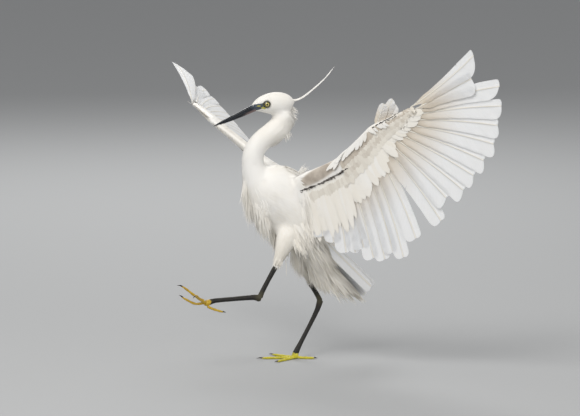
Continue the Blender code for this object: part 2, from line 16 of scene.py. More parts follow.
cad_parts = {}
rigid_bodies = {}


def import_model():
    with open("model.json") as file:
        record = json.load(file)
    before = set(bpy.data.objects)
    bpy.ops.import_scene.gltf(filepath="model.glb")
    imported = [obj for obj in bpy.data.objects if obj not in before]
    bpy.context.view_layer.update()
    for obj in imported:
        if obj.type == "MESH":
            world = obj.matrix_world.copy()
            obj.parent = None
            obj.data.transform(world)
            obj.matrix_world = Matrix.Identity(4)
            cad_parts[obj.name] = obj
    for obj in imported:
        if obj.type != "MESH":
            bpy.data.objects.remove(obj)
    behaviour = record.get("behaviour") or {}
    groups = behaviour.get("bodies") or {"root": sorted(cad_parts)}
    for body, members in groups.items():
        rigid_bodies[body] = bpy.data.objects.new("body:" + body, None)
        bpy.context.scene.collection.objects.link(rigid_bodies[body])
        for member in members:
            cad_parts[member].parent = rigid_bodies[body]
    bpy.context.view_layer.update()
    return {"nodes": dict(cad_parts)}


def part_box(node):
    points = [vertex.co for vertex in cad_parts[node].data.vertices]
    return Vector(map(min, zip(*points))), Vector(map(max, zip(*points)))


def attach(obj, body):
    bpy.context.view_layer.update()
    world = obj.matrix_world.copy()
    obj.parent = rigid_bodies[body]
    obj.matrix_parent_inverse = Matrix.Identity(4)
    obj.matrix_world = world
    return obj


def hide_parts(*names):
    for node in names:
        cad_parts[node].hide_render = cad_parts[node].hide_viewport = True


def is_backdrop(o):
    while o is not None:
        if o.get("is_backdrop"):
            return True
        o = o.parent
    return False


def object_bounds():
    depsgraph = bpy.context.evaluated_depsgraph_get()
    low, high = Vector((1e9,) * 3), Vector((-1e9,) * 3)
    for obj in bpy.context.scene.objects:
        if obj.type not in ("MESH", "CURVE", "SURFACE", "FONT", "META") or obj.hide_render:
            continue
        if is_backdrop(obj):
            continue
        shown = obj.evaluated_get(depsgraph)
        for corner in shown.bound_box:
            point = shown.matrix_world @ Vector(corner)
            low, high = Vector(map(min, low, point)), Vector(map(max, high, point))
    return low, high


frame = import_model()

nodes = frame["nodes"]
MM = 0.001
SIDES = {"left": -1, "right": 1}
chance = np.random.default_rng(11)

# %% [markdown]
# ## Reading places off one drawing
# The solids were laid out over one drawing of the bird from its left front. The same three numbers, in mm,
# name a place here too: how far across the drawing, how high over the floor line, and how far out from the
# bird's midline. The left eyeball tells how far the whole bird was shifted afterwards.

# %% Places in the drawing
VIEW_TURN = math.radians(-20)
VIEW_TILT = math.radians(8)
VIEW_DISTANCE = 7.05
FLOOR_LINE_DROP = 0.266
FRAME_WIDTH = 1.015  # how much of the world the picture spans at the bird

rightward = Vector((math.cos(VIEW_TURN), math.sin(VIEW_TURN), 0))
level_away = Vector((-math.sin(VIEW_TURN), math.cos(VIEW_TURN), 0))
away = level_away * math.cos(VIEW_TILT) - Vector((0, 0, math.sin(VIEW_TILT)))
upward = level_away * math.sin(VIEW_TILT) + Vector((0, 0, math.cos(VIEW_TILT)))
middle = Vector((0, 0, FLOOR_LINE_DROP / math.cos(VIEW_TILT)))
eye_point = middle - away * VIEW_DISTANCE


def unshifted(across, height, out=0.0):
    """The place before the whole bird was shifted over the origin."""
    level = height * MM - FLOOR_LINE_DROP
    ray = away * VIEW_DISTANCE + rightward * (across * MM) + upward * level
    share = (out * MM - eye_point.y) / ray.y
    return eye_point + ray * share


EYE_PLACE = (-40.5, 447.5, -8.4)
eye_low, eye_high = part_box("eye_left")
SHIFT = (eye_low + eye_high) / 2 - unshifted(*EYE_PLACE)


def seen(across, height, out=0.0):
    """The point that shows there in the drawing and lies that far out from the bird's midline (mm)."""
    return unshifted(across, height, out) + SHIFT


MIDLINE_Y = SHIFT.y
print("the bird was shifted by", [round(v * 1000, 2) for v in SHIFT], "mm")

# %% [markdown]
# ## Camera, floor and light
# The camera stands where the drawing was made from: seven metres off, a little above the bird, with a long
# lens. A white bird needs a ground that is darker than its feathers and light that comes mostly from one side,
# or its form is lost, so the floor is pale grey, a large soft lamp stands high on the left and the rest is dim.

# %% Camera
SENSOR = 36.0
camera_data = bpy.data.cameras.new("camera")
camera_data.sensor_width = SENSOR
camera_data.lens = SENSOR * VIEW_DISTANCE / FRAME_WIDTH
camera_data.clip_start = 0.1
camera_data.clip_end = 60
camera = bpy.data.objects.new("camera", camera_data)
camera.location = eye_point + SHIFT
camera.rotation_mode = "QUATERNION"
camera.rotation_quaternion = away.to_track_quat("-Z", "Y")
bpy.context.scene.collection.objects.link(camera)
bpy.context.scene.camera = camera
print("camera", [round(v, 3) for v in camera.location], "lens", round(camera_data.lens, 1), "mm")


# %% Floor and lamps
def add_lamp(name, place, target, size, power, colour):
    """A square soft lamp that faces a target."""
    data = bpy.data.lights.new(name, "AREA")
    data.size = size
    data.energy = power
    data.color = colour
    lamp = bpy.data.objects.new(name, data)
    lamp.location = place
    lamp.rotation_mode = "QUATERNION"
    lamp.rotation_quaternion = (Vector(target) - Vector(place)).to_track_quat("-Z", "Y")
    bpy.context.scene.collection.objects.link(lamp)
    return lamp


def plain_material(name, colour, roughness):
    """A Principled finish with set values only."""
    material = bpy.data.materials.new(name)
    material.use_nodes = True
    shader = material.node_tree.nodes["Principled BSDF"]
    shader.inputs["Base Color"].default_value = (*colour, 1)
    shader.inputs["Roughness"].default_value = roughness
    return material


CHEST = (0, 0, 0.3)
add_lamp("key", (-1.9, -1.6, 3.2), CHEST, 2.2, 98, (1.0, 0.98, 0.95))
add_lamp("fill", (1.6, -3.2, 0.8), CHEST, 2.8, 36, (1.0, 0.97, 0.92))
add_lamp("rim", (0.6, 2.6, 2.2), CHEST, 1.5, 40, (1.0, 0.99, 0.97))

world = bpy.data.worlds.new("studio")
world.use_nodes = True
world.node_tree.nodes["Background"].inputs["Color"].default_value = (0.66, 0.66, 0.66, 1)
world.node_tree.nodes["Background"].inputs["Strength"].default_value = 0.6
bpy.context.scene.world = world
bpy.context.scene.view_settings.view_transform = "Standard"

floor_shape = bmesh.new()
bmesh.ops.create_grid(floor_shape, x_segments=1, y_segments=1, size=30)
floor_mesh = bpy.data.meshes.new("floor")
floor_shape.to_mesh(floor_mesh)
floor_shape.free()
floor_mesh.materials.append(plain_material("floor_paint", (0.42, 0.43, 0.44), 0.9))
floor = bpy.data.objects.new("floor", floor_mesh)
bpy.context.scene.collection.objects.link(floor)
floor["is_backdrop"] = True
print("three lamps, a floor and a dim sky")

# %% [markdown]
# ## Small tools for shaping
# Most pieces are closed lofts: one circle is placed, grown ring by ring along a line and closed at both ends.
# Rings are placed with a matrix, so one circle can become any oval, square to the line it follows.


# %% Lines, rings and lofts
def smooth_line(keys, steps):
    """More rows between rows of numbers, on a soft curve that passes through all of them."""
    rows = np.array(keys, float)
    padded = np.vstack([2 * rows[0] - rows[1], rows, 2 * rows[-1] - rows[-2]])
    made = []
    for i in range(len(rows) - 1):
        a, b, c, d = padded[i : i + 4]
        for t in np.arange(steps) / steps:
            curve = 2 * b + (c - a) * t + (2 * a - 5 * b + 4 * c - d) * t**2 + (3 * b - a - 3 * c + d) * t**3
            made.append(curve / 2)
    made.append(rows[-1])
    return np.array(made)


def ring_matrix(centre, across, deep):
    """Places a unit circle as an oval with these two half axes."""
    square = across.cross(deep).normalized() * min(across.length, deep.length)
    columns = Matrix((across, deep, square)).transposed().to_4x4()
    return Matrix.Translation(centre) @ columns


def along_line(points):
    """The direction of a line at each of its points."""
    count = len(points)
    return [(points[min(i + 1, count - 1)] - points[max(i - 1, 0)]).normalized() for i in range(count)]


def grow_loft(shape, centres, half_widths, half_depths, sideways, sides):
    """Adds a closed loft to a bmesh: ovals along a line, with their width along `sideways`."""
    ways = along_line(centres)
    places = []
    for centre, way, wide, deep in zip(centres, ways, half_widths, half_depths):
        across = (sideways - way * sideways.dot(way)).normalized()
        places.append(ring_matrix(centre, across * wide, way.cross(across) * deep))
    verts = bmesh.ops.create_circle(shape, cap_ends=True, segments=sides, radius=1, matrix=places[0])["verts"]
    edges = list({edge for vert in verts for edge in vert.link_edges})
    start = verts
    for old, new in zip(places, places[1:]):
        grown = bmesh.ops.extrude_edge_only(shape, edges=edges)["geom"]
        verts = [part for part in grown if isinstance(part, bmesh.types.BMVert)]
        edges = [part for part in grown if isinstance(part, bmesh.types.BMEdge)]
        bmesh.ops.transform(shape, matrix=new @ old.inverted(), verts=verts)
    bmesh.ops.contextual_create(shape, geom=edges)
    faces = list({face for vert in shape.verts for face in vert.link_faces})
    bmesh.ops.recalc_face_normals(shape, faces=faces)
    return start


def add_piece(name, shape, materials, stands_for=(), smooth=True):
    """Turns a bmesh or a finished mesh into a piece that rides on the bird."""
    mesh = shape
    if isinstance(shape, bmesh.types.BMesh):
        mesh = bpy.data.meshes.new(name)
        shape.to_mesh(mesh)
        shape.free()
    for material in materials:
        mesh.materials.append(material)
    if smooth:
        mesh.shade_smooth()
    piece = bpy.data.objects.new(name, mesh)
    bpy.context.scene.collection.objects.link(piece)
    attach(piece, "root")
    if stands_for:
        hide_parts(*stands_for)
    return piece


def mesh_points(mesh):
    """All of a mesh's vertices as one array."""
    flat = np.empty(len(mesh.vertices) * 3)
    mesh.vertices.foreach_get("co", flat)
    return flat.reshape(-1, 3)


def set_points(mesh, points):
    """Moves all of a mesh's vertices."""
    mesh.vertices.foreach_set("co", np.ascontiguousarray(points, float).ravel())
    mesh.update()


def mesh_normals(mesh):
    """The normals at all of a mesh's vertices."""
    flat = np.empty(len(mesh.vertices) * 3, np.float32)
    mesh.vertex_normals.foreach_get("vector", flat)
    return flat.reshape(-1, 3).astype(float)


def paint(mesh, name, values):
    """Keeps one number at each vertex for a material to read."""
    layer = mesh.attributes.new(name, "FLOAT", "POINT")
    layer.data.foreach_set("value", np.asarray(values, np.float32))


def drawn(points):
    """Where points show in the drawing (across and height in mm), the right side taken as the left mirrored."""
    points = np.array(points, float)
    points[:, 1] = MIDLINE_Y - np.abs(points[:, 1] - MIDLINE_Y)
    rel = points - np.array(eye_point + SHIFT)
    spread = VIEW_DISTANCE / (rel @ np.array(away))
    across = rel @ np.array(rightward) * spread / MM
    height = (rel @ np.array(upward) * spread + FLOOR_LINE_DROP) / MM
    return across, height


def blur_step(value, low, high):
    """0 below low, 1 above high and a soft slope between."""
    t = np.clip((np.asarray(value, float) - low) / (high - low), 0, 1)
    return t * t * (3 - 2 * t)


print("shaping tools ready")

# %% [markdown]
# ## Lines that the plumage follows
# Feathers lie along the body: backwards over the head, down the folded neck, back over the trunk to the tail.
# One long line with a radius at each place holds that, and each thigh has its own shorter line. Any point of
# the skin then knows how far along it lies, which way its feathers point and how large they are.

# %% The spine and the thighs
# across, height, radius, feather length, width, coat depth (all in mm) and lift off the skin in degrees
SPINE_KEYS = (
    (-62, 442, 7, 2.6, 0.7, 0.4, 7),
    (-46, 448, 14, 3.8, 0.9, 0.7, 7),
    (-22, 450, 18, 6.2, 1.15, 1.0, 8),
    (-5, 440, 18, 10, 1.35, 1.6, 9),
    (-10, 421, 19, 10, 1.4, 1.8, 8),
    (-22, 405, 19.5, 10, 1.45, 1.8, 7),
    (-38, 392, 19, 10.5, 1.5, 1.8, 7),
    (-54, 378, 18.5, 11, 1.55, 1.9, 7),
    (-64, 360, 19, 11.5, 1.6, 2.0, 7),
    (-64, 338, 21, 13, 1.75, 2.2, 7),
    (-57, 311, 29, 16, 2.1, 2.6, 8),
    (-45, 297, 38, 19, 2.5, 3.0, 8),
    (-27, 288, 48, 21, 2.8, 3.3, 8),
    (-3, 268, 51, 22, 3.0, 3.4, 9),
    (17, 243, 48, 23, 3.0, 3.4, 10),
    (34, 217, 40, 24, 3.0, 3.2, 11),
    (47, 197, 27, 25, 2.9, 2.8, 11),
    (61, 168, 20, 25, 2.8, 2.4, 9),
    (75, 143, 14, 23, 2.6, 1.9, 8),
    (90, 125, 8, 19, 2.4, 1.3, 7),
    (100, 114, 3, 13, 2.0, 0.7, 6),
)
LEFT_THIGH_KEYS = (
    (12, 262, 27, 20, 2.8, 2.8, 9, -14),
    (5, 240, 22, 17, 2.5, 2.4, 8, -22),
    (-5, 214, 18, 14, 2.1, 2.0, 8, -30),
    (-14, 192, 12.5, 11, 1.7, 1.5, 7, -33),
    (-21, 174, 8, 8, 1.3, 1.0, 6, -34),
    (-25.5, 162, 4.6, 6, 1.0, 0.5, 5, -34),
)
RIGHT_THIGH_KEYS = (
    (14, 246, 27, 20, 2.8, 2.8, 9, 14),
    (16, 222, 21, 17, 2.5, 2.4, 8, 20),
    (23, 190, 17, 14, 2.1, 2.0, 8, 25),
    (30, 161, 11, 11, 1.7, 1.5, 7, 24),
    (34, 143, 7.2, 8, 1.3, 1.0, 6, 22),
    (36.3, 132, 4.6, 6, 1.0, 0.5, 5, 21),
)
LINE_STEPS = 4
DEPTH_SHARE = 0.25


def lie_line(keys):
    """A centre line as arrays: places, directions, radii and the feather sizes along it."""
    rows = smooth_line(keys, LINE_STEPS)
    places = [seen(row[0], row[1], row[7] if len(row) > 7 else 0) for row in rows]
    return {
        "places": np.array(places),
        "ways": np.array(along_line(places)),
        "radii": rows[:, 2] * MM,
        "sizes": rows[:, 3:7] * np.array([1, 1, DEPTH_SHARE, 1]),
    }


BODY_LINES = {"spine": lie_line(SPINE_KEYS), "left": lie_line(LEFT_THIGH_KEYS), "right": lie_line(RIGHT_THIGH_KEYS)}


def nearest_on(line, points):
    """For each point: the place along the line from 0 to 1, and its distance in radii of the body there."""
    best = np.full(len(points), 1e9)
    at = np.zeros(len(points))
    starts, ends = line["places"][:-1], line["places"][1:]
    for i, (start, end) in enumerate(zip(starts, ends)):
        run = end - start
        t = np.clip((points - start) @ run / (run @ run), 0, 1)
        off = np.linalg.norm(points - start - t[:, None] * run, axis=1)
        radius = line["radii"][i] * (1 - t) + line["radii"][i + 1] * t
        apart = off / radius + 0.04 * off / line["radii"].max()
        nearer = apart < best
        best = np.where(nearer, apart, best)
        at = np.where(nearer, i + t, at)
    return at / (len(starts)), best


def along(line, key, at):
    """A line's values at places from 0 to 1 along it."""
    values = line[key]
    spot = np.asarray(at) * (len(line["places"]) - 1)
    columns = values if values.ndim > 1 else values[:, None]
    steps = np.arange(len(columns))
    made = np.stack([np.interp(spot, steps, columns[:, k]) for k in range(columns.shape[1])], 1)
    return made if values.ndim > 1 else made[:, 0]


def plumage_at(points):
    """The lie direction and the feather sizes of the body's coat at each point."""
    ways = np.zeros((len(points), 3))
    sizes = np.zeros((len(points), 4))
    total = np.zeros(len(points))
    for line in BODY_LINES.values():
        at, apart = nearest_on(line, points)
        weight = np.exp(-((apart / 0.55) ** 2)) + 1e-9
        soft = 0
        for offset in (-0.03, -0.015, 0, 0.015, 0.03):
            soft = soft + along(line, "ways", np.clip(at + offset, 0, 1))
        ways += soft * weight[:, None]
        sizes += along(line, "sizes", at) * weight[:, None]
        total += weight
    ways /= np.linalg.norm(ways, axis=1)[:, None]
    return ways, sizes / total[:, None]


print("body lines:", {name: len(line["places"]) for name, line in BODY_LINES.items()})

# %% [markdown]
# ## The wings' bones
# A wing hangs on three lines: shoulder to wrist, wrist to fingertip, and the way its feathers point. The
# directions are given as two angles, swept back and lifted, just as for the solids.

# %% Wing frames
ARM_REACH = 179 * MM
HAND_LENGTH = 88 * MM
SHOULDER_OUT = 34 * MM
ELBOW_SAG = 47 * MM
# share of the arm from the shoulder, then how far the edges lie before and behind it and how thick it is
ARM_STATIONS = (
    (-0.02, -10, 66, 22),
    (0.12, -6, 70, 22),
    (0.28, -1, 76, 19),
    (0.48, 4, 78, 17),
    (0.74, -2, 60, 15),
    (0.97, -9, 40, 14),
)
HAND_STATIONS = ((0.03, -10, 36, 13), (0.5, -9, 27, 10), (1.0, -6, 10, 6))


def aim(side, sweep, lift):
    """A unit direction out to one side, swept back and lifted by angles in degrees."""
    sweep, lift = math.radians(sweep), math.radians(lift)
    return Vector((math.sin(sweep) * math.cos(lift), math.cos(sweep) * math.cos(lift) * side, math.sin(lift)))


def wing_frame(side, reach, hand, lead, inner, rear, gather):
    """Where a wing's bones and edges run."""
    wing = {"side": side, "reach": aim(side, *reach), "hand": aim(side, *hand), "gather": gather}
    wing["lead"], wing["inner"], wing["rear"] = (aim(side, *pair) for pair in (lead, inner, rear))
    left_shoulder = unshifted(14, 315, -SHOULDER_OUT / MM)
    wing["shoulder"] = Vector((left_shoulder.x, SHOULDER_OUT * side, left_shoulder.z)) + SHIFT
    wing["wrist"] = wing["shoulder"] + wing["reach"] * ARM_REACH
    wing["finger"] = wing["wrist"] + wing["hand"] * HAND_LENGTH
    wing["top"] = wing["rear"].cross(wing["reach"]).normalized() * side
    wing["hand_top"] = wing["inner"].cross(wing["hand"]).normalized() * side
    return wing


def arm_edge(wing, share, margin):
    """A point off the arm line, that far (mm) towards the rear."""
    way = wing["rear"].slerp(wing["inner"], max(share, 0) ** 2)
    return wing["shoulder"].lerp(wing["wrist"], share) + way * (margin * MM)


def hand_edge(wing, share, margin):
    """A point off the hand line, that far (mm) towards the rear."""
    way = wing["inner"].slerp(wing["lead"], share * 0.3)
    return wing["wrist"].lerp(wing["finger"], share) + way * (margin * MM)


WINGS = {
    "left": wing_frame(-1, (39.6, 33.5), (40.3, 27.5), (38.8, 39.5), (47.4, -42.4), (58.2, -72.2), 0.85),
    "right": wing_frame(1, (-34.3, 28.5), (-6, 15), (7, 21.5), (42.5, -18), (55, -42), 0.5),
}
for name, wing in WINGS.items():
    print(name, "wrist", [round(v, 3) for v in wing["wrist"]], "finger", [round(v, 3) for v in wing["finger"]])

# %% [markdown]
# ## One skin
# Under the feathers the whole bird is one surface. Copies of the solids for trunk, neck, head, thighs and arms
# are swollen until they touch, remeshed into one and smoothed, so no seam is left. Then the skin sinks by the
# coat's depth, which makes room for the feathers. The face is subdivided once more, as it is seen closest.

# %% Skin of the body
WING_PARTS = ("upper_arm", "forearm", "hand")
BODY_FLESH = ["trunk", "tail_coverts", "neck_lower", "neck_middle", "neck_upper", "head", "left_thigh", "right_thigh"]
WING_FLESH = [f"{side}_{part}" for side in SIDES for part in WING_PARTS]
SWELL = 0.5 * MM
BODY_VOXEL = 2.0 * MM
ARM_COAT = 1.0


def merged_copy(names, swell):
    """Copies of solids in one bmesh, welded and swollen a little so that neighbours touch."""
    joined = bmesh.new()
    for name in names:
        single = bmesh.new()
        single.from_mesh(nodes[name].data)
        bmesh.ops.remove_doubles(single, verts=single.verts, dist=1e-6)
        single.normal_update()
        for vert in single.verts:
            vert.co += vert.normal * swell
        copy = bpy.data.meshes.new("copy")
        single.to_mesh(copy)
        single.free()
        joined.from_mesh(copy)
        bpy.data.meshes.remove(copy)
    return joined


def remeshed(shape, voxel):
    """One even surface round everything in a bmesh."""
    mesh = bpy.data.meshes.new("raw")
    shape.to_mesh(mesh)
    shape.free()
    carrier = bpy.data.objects.new("raw", mesh)
    bpy.context.scene.collection.objects.link(carrier)
    remesh = carrier.modifiers.new("remesh", "REMESH")
    remesh.mode = "VOXEL"
    remesh.voxel_size = voxel
    made = bmesh.new()
    made.from_object(carrier, bpy.context.evaluated_depsgraph_get())
    bpy.data.objects.remove(carrier)
    bpy.data.meshes.remove(mesh)
    return made


def smoothed(shape, verts, rounds):
    """Softens some vertices of a bmesh."""
    for _ in range(rounds):
        bmesh.ops.smooth_vert(shape, verts=verts, factor=0.5, use_axis_x=True, use_axis_y=True, use_axis_z=True)


body_shape = remeshed(merged_copy(BODY_FLESH + WING_FLESH, SWELL), BODY_VOXEL)
head_centre = Vector(seen(-28, 447))
HEAD_REACH = 52 * MM
head_verts = [v for v in body_shape.verts if (v.co - head_centre).length < HEAD_REACH]
other_verts = [v for v in body_shape.verts if (v.co - head_centre).length >= HEAD_REACH]
smoothed(body_shape, other_verts, 24)
smoothed(body_shape, head_verts, 8)
NAPE_REACH = 17 * MM
for nape in (seen(0, 428), seen(6, 434), seen(-22, 428)):
    smoothed(body_shape, [v for v in head_verts if (v.co - nape).length < NAPE_REACH], 40)
print("body skin before its details:", len(body_shape.faces), "faces")


# %% Where a point lies on a wing
def arm_place(wing, points):
    """Share of the arm's reach, and the height over the wing's mid plane in metres, at each point."""
    rel = points - np.array(wing["shoulder"])
    share = rel @ np.array(wing["reach"]) / ARM_REACH
    return share, rel @ np.array(wing["top"])


def chord_place(wing, points):
    """How far behind the leading edge each point lies, as a share of the arm's or hand's depth there."""
    best = np.full(len(points), 1e9)
    chord = np.zeros(len(points))
    edges = [(arm_edge(wing, s, a), arm_edge(wing, s, b)) for s, a, b in stations_between(ARM_STATIONS, 8)]
    edges += [(hand_edge(wing, s, a), hand_edge(wing, s, b)) for s, a, b in stations_between(HAND_STATIONS, 6)]
    for front, rear in edges:
        run = np.array(rear - front)
        t = np.clip((points - np.array(front)) @ run / (run @ run), 0, 1)
        off = np.linalg.norm(points - np.array(front) - t[:, None] * run, axis=1)
        nearer = off < best
        best = np.where(nearer, off, best)
        chord = np.where(nearer, t, chord)
    return chord


def stations_between(stations, count):
    """Evenly spaced rows of share, front margin and rear margin out of a wing's stations."""
    rows = np.array(stations)
    shares = np.linspace(rows[0, 0], rows[-1, 0], count)
    return [(s, np.interp(s, rows[:, 0], rows[:, 1]), np.interp(s, rows[:, 0], rows[:, 2])) for s in shares]


def wing_weight(points):
    """0 on the body and 1 out on the wings, with a soft slope at the shoulder."""
    _, apart = nearest_on(BODY_LINES["spine"], points)
    clear = blur_step(apart, 0.85, 1.2)
    outward = 0
    for wing in WINGS.values():
        share, _ = arm_place(wing, points)
        own_side = (points[:, 1] - MIDLINE_Y) * wing["side"] > 0
        outward = np.maximum(outward, blur_step(share, -0.10, 0.13) * own_side)
    return outward * clear


# %% The face's bare skin, and the skin sunk under the coat
# Edges of the bare lores in the drawing: two points (across, height) on each
LORES_TOP = ((-67.4, 447.1), (-46.4, 449.8))
LORES_BOTTOM = ((-59.7, 435.8), (-47.2, 439.8))
LORES_REAR = -42.0
EYE_AT = EYE_PLACE[:2]
BARE_PATCH = (-46.0, 440.6, 4.2, 2.3)  # yellow skin before and under the eye: middle and half axes
LENS_MARK = (-54.6, 444.2, 3.6, 1.0)  # a yellow streak in the grey lores
BARE_RING = 6.5


def over_line(across, height, line):
    """How far (mm) points in the drawing lie over a line through two points."""
    (x0, y0), (x1, y1) = line
    return height - (y0 + (across - x0) * (y1 - y0) / (x1 - x0))


def in_oval(across, height, oval, soft):
    """1 inside an oval in the drawing and 0 outside."""
    x, y, wide, high = oval
    apart = np.hypot((across - x) / wide, (height - y) / high)
    return 1 - blur_step(apart, 1 - soft, 1 + soft)


def face_masks(points):
    """Masks of the face's bare skin: the grey lores and the yellow skin round the eye."""
    across, height = drawn(points)
    outside = np.maximum.reduce(
        [over_line(across, height, LORES_TOP), -over_line(across, height, LORES_BOTTOM), across - LORES_REAR]
    )
    sideways = blur_step(np.abs(points[:, 1] - MIDLINE_Y), 1.5 * MM, 4.0 * MM)
    near = np.linalg.norm(points - np.array(head_centre), axis=1) < HEAD_REACH
    lores = (1 - blur_step(outside, -0.9, 0.9)) * sideways * near
    from_eye = np.hypot(across - EYE_AT[0], height - EYE_AT[1])
    ring = 1 - blur_step(from_eye, BARE_RING - 0.8, BARE_RING + 0.4)
    patch = np.maximum(in_oval(across, height, BARE_PATCH, 0.25), in_oval(across, height, LENS_MARK, 0.3))
    yellow = np.maximum(ring, patch) * sideways * near
    return lores, yellow


close_edges = {e for v in head_verts if v.is_valid for e in v.link_edges}
bmesh.ops.subdivide_edges(body_shape, edges=list(close_edges), cuts=1, use_grid_fill=True)
head_verts = [v for v in body_shape.verts if (v.co - head_centre).length < HEAD_REACH]
smoothed(body_shape, head_verts, 3)
bmesh.ops.recalc_face_normals(body_shape, faces=body_shape.faces)
body_mesh = bpy.data.meshes.new("body_skin")
body_shape.to_mesh(body_mesh)
body_shape.free()

skin_points = mesh_points(body_mesh)
skin_normals = mesh_normals(body_mesh)
_, skin_sizes = plumage_at(skin_points)
out_on_wing = wing_weight(skin_points)
chord = np.ones(len(skin_points))
for wing in WINGS.values():
    own_side = (skin_points[:, 1] - MIDLINE_Y) * wing["side"] > 0
    chord = np.where(own_side, chord_place(wing, skin_points), chord)
arm_depth = ARM_COAT * (1 - 0.75 * blur_step(chord, 0.6, 0.95))
coat_depth = skin_sizes[:, 2] * (1 - out_on_wing) + arm_depth * out_on_wing + SWELL / MM
lores, yellow = face_masks(skin_points)
bare = np.maximum(lores, yellow)
coat_depth = coat_depth * (1 - bare) + (SWELL / MM + 0.15) * bare
set_points(body_mesh, skin_points - skin_normals * (coat_depth * MM)[:, None])
# The fold's mask carries painted shade: the skin's material tints it tan
FOLD_OVAL = (50, 326, 44, 12.5, 31)  # bare fold under the left wing: middle, half axes and turn in the drawing
fold_across, fold_height = drawn(skin_points)
fold_turn = math.radians(FOLD_OVAL[4])
fold_x, fold_y = fold_across - FOLD_OVAL[0], fold_height - FOLD_OVAL[1]
fold_long = (fold_x * math.cos(fold_turn) + fold_y * math.sin(fold_turn)) / FOLD_OVAL[2]
fold_wide = (fold_y * math.cos(fold_turn) - fold_x * math.sin(fold_turn)) / FOLD_OVAL[3]
fold = 1 - blur_step(np.hypot(fold_long, fold_wide), 0.75, 1.15)
fold *= (skin_points[:, 1] < MIDLINE_Y) * (out_on_wing > 0.3)
paint(body_mesh, "fold", fold)
paint(body_mesh, "lores", lores)
paint(body_mesh, "yellow_skin", yellow)
paint(body_mesh, "tone", np.full(len(skin_points), 0.5))
print("body skin:", len(body_mesh.polygons), "faces; sunk by up to", round(float(coat_depth.max()), 1), "mm")

# %% [markdown]
# ## What white plumage is made of
# White feathers aren't one white: they are creamy where they are thick, bluish where light comes through, and
# a wading bird's neck and belly carry faint grey stains. One node group works that colour out from the place
# on the bird and from a tone that each feather carries, and both the skin and every feather use it, so that
# skin and coat match wherever the skin could show.


# %% Node tools and the plumage colour
def node_group(name, inputs, outputs):
    """An empty shader node group with named sockets: (name, kind, value) going in and (name, kind) coming out."""
    group = bpy.data.node_groups.new(name, "ShaderNodeTree")
    for label, kind, value in inputs:
        socket = group.interface.new_socket(name=label, in_out="INPUT", socket_type=kind)
        socket.default_value = value
    for label, kind in outputs:
        group.interface.new_socket(name=label, in_out="OUTPUT", socket_type=kind)
    return group, group.nodes.new("NodeGroupInput"), group.nodes.new("NodeGroupOutput")


def add_node(tree, kind, values=None, **settings):
    """A node with its settings and the values of its unlinked inputs."""
    node = tree.nodes.new(kind)
    for key, value in settings.items():
        setattr(node, key, value)
    for key, value in (values or {}).items():
        node.inputs[key].default_value = value
    return node


def link(tree, source, target):
    """Joins an output socket to an input socket."""
    tree.links.new(source, target)


def math_node(tree, operation, first, second=None, clamp=False):
    """A Math node over sockets or numbers; gives its output socket."""
    node = add_node(tree, "ShaderNodeMath", operation=operation, use_clamp=clamp)
    for slot_at, value in enumerate((first, second)):
        if value is None:
            continue
        if isinstance(value, bpy.types.NodeSocket):
            link(tree, value, node.inputs[slot_at])
        else:
            node.inputs[slot_at].default_value = value
    return node.outputs[0]


def mix_colour(tree, share, first, second, blend="MIX"):
    """A colour Mix node over sockets or colours; gives its output socket."""
    node = add_node(tree, "ShaderNodeMix", data_type="RGBA", blend_type=blend, clamp_factor=True)
    for slot_at, value in ((0, share), (6, first), (7, second)):
        if isinstance(value, bpy.types.NodeSocket):
            link(tree, value, node.inputs[slot_at])
        else:
            node.inputs[slot_at].default_value = value
    return node.outputs[2]


def range_node(tree, value, low, high, to_low=0.0, to_high=1.0):
    """A Map Range node; gives its output socket."""
    numbers = {"From Min": low, "From Max": high, "To Min": to_low, "To Max": to_high}
    node = add_node(tree, "ShaderNodeMapRange", numbers, interpolation_type="SMOOTHSTEP")
    link(tree, value, node.inputs["Value"])
    return node.outputs["Result"]


def noise_node(tree, where, scale, detail=3.0, roughness=0.55, stretch=None):
    """A Noise texture, drawn out along an axis if wished; gives its value socket."""
    if stretch:
        mapping = add_node(tree, "ShaderNodeMapping", {"Scale": stretch})
        link(tree, where, mapping.inputs["Vector"])
        where = mapping.outputs["Vector"]
    noise = add_node(tree, "ShaderNodeTexNoise", {"Scale": scale, "Detail": detail, "Roughness": roughness})
    link(tree, where, noise.inputs["Vector"])
    return noise.outputs["Fac"]


def new_material(name, roughness, sheen=0.0, coat=0.0, specular=0.5, glow=0.0):
    """A Principled material with its fixed values set, and its tree and shader to build on."""
    material = bpy.data.materials.new(name)
    material.use_nodes = True
    shader = material.node_tree.nodes["Principled BSDF"]
    shader.inputs["Roughness"].default_value = roughness
    shader.inputs["Sheen Weight"].default_value = sheen
    shader.inputs["Coat Weight"].default_value = coat
    shader.inputs["Specular IOR Level"].default_value = specular
    shader.inputs["Subsurface Weight"].default_value = glow
    shader.inputs["Subsurface Radius"].default_value = (1.0, 0.9, 0.75)
    shader.inputs["Subsurface Scale"].default_value = GLOW_REACH
    return material, material.node_tree, shader


def object_place(tree):
    """The Object coordinate socket."""
    return add_node(tree, "ShaderNodeTexCoord").outputs["Object"]


def attribute(tree, name):
    """The number that a piece carries under this name."""
    return add_node(tree, "ShaderNodeAttribute", attribute_name=name).outputs["Fac"]


def bump(tree, shader, height, strength, distance):
    """Feeds a height to the shader's Normal."""
    node = add_node(tree, "ShaderNodeBump", {"Strength": strength, "Distance": distance})
    link(tree, height, node.inputs["Height"])
    link(tree, node.outputs["Normal"], shader.inputs["Normal"])


GLOW_REACH = 3 * MM  # how far light travels inside feathers
FEATHER_GLOW = 0.3
WHITE_FEATHER = (0.93, 0.918, 0.89, 1)
CREAM_FEATHER = (0.88, 0.835, 0.745, 1)
BLUE_FEATHER = (0.90, 0.915, 0.93, 1)
STAIN_GREY = (0.62, 0.61, 0.585, 1)
# painted shade: beige for the white underwing where shade falls near the bones
UNDERWING_SHADE_BEIGE = (0.52, 0.45, 0.37, 1)
# painted shadow: dark brown for the shadowed gap behind the hanging coverts and under the thumb
GAP_SHADOW_BROWN = (0.045, 0.034, 0.028, 1)


